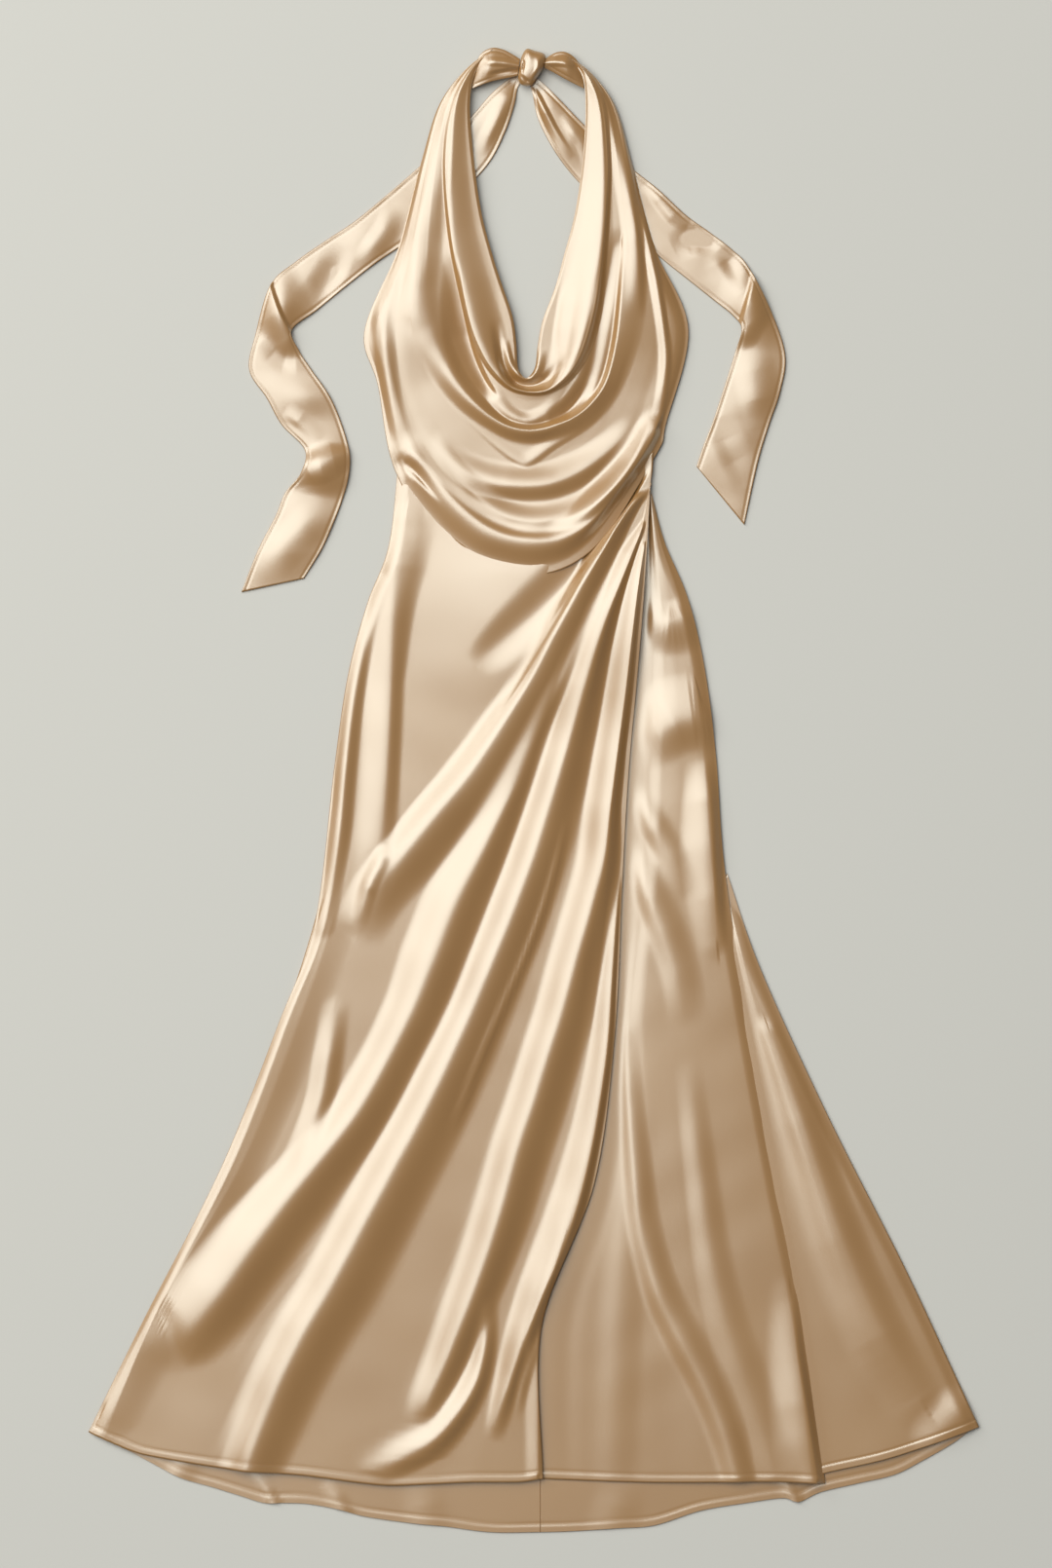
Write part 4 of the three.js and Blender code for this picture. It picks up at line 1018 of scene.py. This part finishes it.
x, down, height = knot_points(60, 120)
height += folded(x, down, KNOT_FOLDS) * (height > KNOT_FOLDS_FROM)
points = from_plan(x, down, height)
mesh = bpy.data.meshes.new("neck_knot_cloth")
rings, sides = points.shape[:2]
index = np.arange(rings * sides).reshape(rings, sides)
cells = np.stack([index[:-1, :-1], index[1:, :-1], index[1:, 1:], index[:-1, 1:]], -1).reshape(-1, 4)
caps = [index[0, :-1].tolist(), index[-1, -2::-1].tolist()]
mesh.from_pydata(points.reshape(-1, 3), [], cells.tolist() + caps)
mesh.uv_layers.new(name="cloth")
mesh.shade_smooth()
knot = add_object("neck_knot_cloth", mesh)
bm = bmesh.new()
bm.from_mesh(mesh)
bmesh.ops.remove_doubles(bm, verts=bm.verts, dist=1e-6)
bmesh.ops.recalc_face_normals(bm, faces=bm.faces)
bm.to_mesh(mesh)
bm.free()
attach(knot, "root")
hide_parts("neck_knot")
SHOWN.append(knot)
print("neck_knot_cloth: %d faces" % len(mesh.polygons))

# %% [markdown]
# ## Sewing
#
# Every hem is turned under and top-stitched, and the ties are stitched close to both edges. The
# stitches are short raised threads in a row, a little under one for every three millimetres.

# %% Sewing: rows of stitches
STITCH_STEP, STITCH_LENGTH, STITCH_WIDTH, STITCH_HEIGHT = 3.4 * MM, 2.3 * MM, 0.35 * MM, 0.25 * MM
SEAM_ROWS = 60  # grid rows from an edge that are searched for the line of its seam


def sewn_line(points, place, inset):
    """The line on a cloth's grid that lies an inset from one of its edges, in metres."""
    views = {"last column": points.swapaxes(0, 1), "last row": points, "first row": points[::-1]}
    cloth = views[place][::-1][:SEAM_ROWS]
    gap = np.linalg.norm((cloth - cloth[:1])[..., :2], axis=-1)
    gap = np.maximum.accumulate(gap, axis=0)
    columns = range(cloth.shape[1])
    return np.array([[np.interp(inset, gap[:, j], cloth[:, j, k]) for k in range(3)] for j in columns])


def stitch_corners(line):
    """The eight corners of every stitch along a line: a small box that points along it."""
    travel = np.concatenate([[0], np.cumsum(np.linalg.norm(np.diff(line, axis=0), axis=1))])
    middle = np.arange(STITCH_STEP / 2, travel[-1], STITCH_STEP)
    start, end = (
        np.stack([np.interp(middle + reach, travel, line[:, k]) for k in range(3)], -1)
        for reach in (-STITCH_LENGTH / 2, STITCH_LENGTH / 2)
    )
    side = np.cross([0, 0, 1], end - start)
    side *= STITCH_WIDTH / 2 / np.maximum(np.linalg.norm(side, axis=1, keepdims=True), 1e-9)
    up = np.array([0, 0, STITCH_HEIGHT])
    foot = [start - side, end - side, end + side, start + side]
    return np.stack(foot + [corner + up for corner in foot], 1)


BOX_FACES = np.array([[3, 2, 1, 0], [4, 5, 6, 7], [0, 1, 5, 4], [1, 2, 6, 5], [2, 3, 7, 6], [3, 0, 4, 7]])
THREADS = {}
for sheet in SHEETS:
    if not sheet["sewn"]:
        continue
    name = sheet["piece"].name
    inset = (TIE_SEAM if "first row" in sheet["sewn"] else HEM_WIDTH) * UNIT
    corners = np.concatenate([stitch_corners(sewn_line(sheet["points"], place, inset))
                              for place in sheet["sewn"]])
    faces = (BOX_FACES + 8 * np.arange(len(corners))[:, None, None]).reshape(-1, 4)
    mesh = bpy.data.meshes.new(name.replace("cloth", "stitches"))
    mesh.from_pydata(corners.reshape(-1, 3), [], faces.tolist())
    mesh.uv_layers.new(name="thread")
    thread = add_object(mesh.name, mesh)
    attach(thread, "root")
    THREADS[name] = thread
    print("%s: %d stitches" % (thread.name, len(corners)))

# %% The cut of each sheet
for sheet in SHEETS:
    name = sheet["piece"].name
    print("%s: cut %.3f x %.3f m, %.4f m2" % (name, *sheet["flat"], sheet["area"]))

# %% [markdown]
# ## Satin
#
# The cloth is a champagne polyester satin: long floats of smooth thread on its right side,
# so it mirrors the light in broad soft bands, and its shadows are a deeper, redder brown.


# %% Satin: the material
def linear(hex_colour):
    """Linear RGB and alpha from an sRGB hex colour."""
    channels = np.array([int(hex_colour[i:i + 2], 16) for i in (1, 3, 5)]) / 255
    low = channels / 12.92
    high = ((channels + 0.055) / 1.055) ** 2.4
    return (*np.where(channels <= 0.04045, low, high), 1.0)


def node(tree, kind, links=(), **settings):
    """Adds a node, sets its sockets and properties by name, and links (output, input) pairs."""
    made = tree.nodes.new(kind)
    for key, value in settings.items():
        if key in made.inputs:
            made.inputs[key].default_value = value
        else:
            setattr(made, key, value)
    for output, name in links:
        tree.links.new(output, made.inputs[name])
    return made


def plain_finish(name, hex_colour, roughness, specular=0.5):
    """One colour, one roughness and one strength of reflection, on the shader's own sockets."""
    material = bpy.data.materials.new(name)
    material.use_nodes = True
    sockets = material.node_tree.nodes["Principled BSDF"].inputs
    sockets["Base Color"].default_value = linear(hex_colour)
    sockets["Roughness"].default_value = roughness
    sockets["Specular IOR Level"].default_value = specular
    return material


def satin_material():
    """Champagne satin: a dielectric cloth with a strong soft sheen and a fine woven grain.

    The index of 2.6 is given. It is above a fibre's own 1.6 and stands for the strong sheen
    of satin, whose threads float side by side over a long way.
    """
    material = bpy.data.materials.new("champagne_satin")
    material.use_nodes = True
    tree = material.node_tree
    tree.nodes.clear()
    place = node(tree, "ShaderNodeTexCoord")
    cloud = node(tree, "ShaderNodeTexNoise", [(place.outputs["Object"], "Vector")], Scale=9.0, Detail=2.0)
    tint = node(tree, "ShaderNodeValToRGB", [(cloud.outputs["Fac"], "Fac")])
    tint.color_ramp.elements[0].color = linear("#a3753e")
    tint.color_ramp.elements[1].color = linear("#ad8048")
    grain = node(tree, "ShaderNodeTexNoise", [(place.outputs["Object"], "Vector")], Scale=900.0, Detail=1.0)
    bump = node(tree, "ShaderNodeBump", [(grain.outputs["Fac"], "Height")], Strength=0.06, Distance=0.0004)
    cloth = node(tree, "ShaderNodeBsdfPrincipled",
                 [(tint.outputs["Color"], "Base Color"), (bump.outputs["Normal"], "Normal")])
    cloth.inputs["Roughness"].default_value = 0.34
    cloth.inputs["IOR"].default_value = 2.6
    cloth.inputs["Specular Tint"].default_value = (0.97, 1.0, 0.93, 1.0)
    node(tree, "ShaderNodeOutputMaterial", [(cloth.outputs["BSDF"], "Surface")])
    return material


# %% Satin and thread: put on the pieces
satin = satin_material()
for piece in SHOWN:
    piece.data.materials.append(satin)
thread_finish = plain_finish("polyester_thread", "#b4936a", 0.55)
for thread in THREADS.values():
    thread.data.materials.append(thread_finish)
print("satin on", len(SHOWN), "pieces")

# %% [markdown]
# ## The surface, the light and the camera
#
# The dress lies on a pale warm-grey surface. A large soft light hangs high on the upper left
# and a smaller one stands low beyond it, so every fold has a bright flank and a dark one. The
# camera hangs straight above. The world adds a faint even light.

# %% Floor
FLOOR_DROP, FLOOR_REACH = 0.3 * MM, 4
floor_corners = [(FLOOR_REACH * i, FLOOR_REACH * j, -FLOOR_DROP)
                 for i, j in ((-1, -1), (1, -1), (1, 1), (-1, 1))]
floor_mesh = bpy.data.meshes.new("floor")
floor_mesh.from_pydata(floor_corners, [], [(0, 1, 2, 3)])
floor = add_object("floor", floor_mesh)
floor_mesh.materials.append(plain_finish("pale_surface", "#d0cfc8", 1.0, 0.0))
print("floor %.1f mm below the dress" % (FLOOR_DROP / MM))


# %% Lights
def area_light(name, place, target, size, power, colour):
    """A soft light, size (across, along its up), at a place in metres, turned to face its target."""
    data = bpy.data.lights.new(name, "AREA")
    data.shape = "RECTANGLE"
    data.size, data.size_y = size
    data.energy = power
    data.color = colour
    light = add_object(name, data)
    light.location = place
    light.rotation_euler = (Vector(target) - Vector(place)).to_track_quat("-Z", "Y").to_euler()
    print("%s: %d W" % (name, power))


area_light("key_light", (-2.5, 2.05, 7.1), (2.4, -2.4, 0), (6.9, 6.9), 670, (1.0, 1.0, 0.98))
area_light("low_light", (-6.3, 4.4, 3.6), (1.5, -1.5, 0), (3.2, 3.2), 170, (1.0, 1.0, 0.97))
world = bpy.data.worlds.new("studio")
world.use_nodes = True
world.node_tree.nodes["Background"].inputs["Color"].default_value = (0.9, 0.92, 0.95, 1)
world.node_tree.nodes["Background"].inputs["Strength"].default_value = 0.12
bpy.context.scene.world = world

# %% Camera
PHOTO_HEIGHT = 1610
VIEW_MIDDLE = dict(x=540.0, down=805.0)
LENS, SENSOR = 135.0, 36.0
camera_data = bpy.data.cameras.new("camera")
camera_data.sensor_fit = "AUTO"
camera_data.sensor_width = SENSOR
camera_data.lens = LENS
camera = add_object("camera", camera_data)
height_above = PHOTO_HEIGHT * UNIT * LENS / SENSOR
camera.location = (float(to_x(VIEW_MIDDLE["x"])), float(to_y(VIEW_MIDDLE["down"])), height_above)
bpy.context.scene.camera = camera
bpy.context.scene.view_settings.view_transform = "Standard"
print("camera %.2f m above the dress" % height_above)
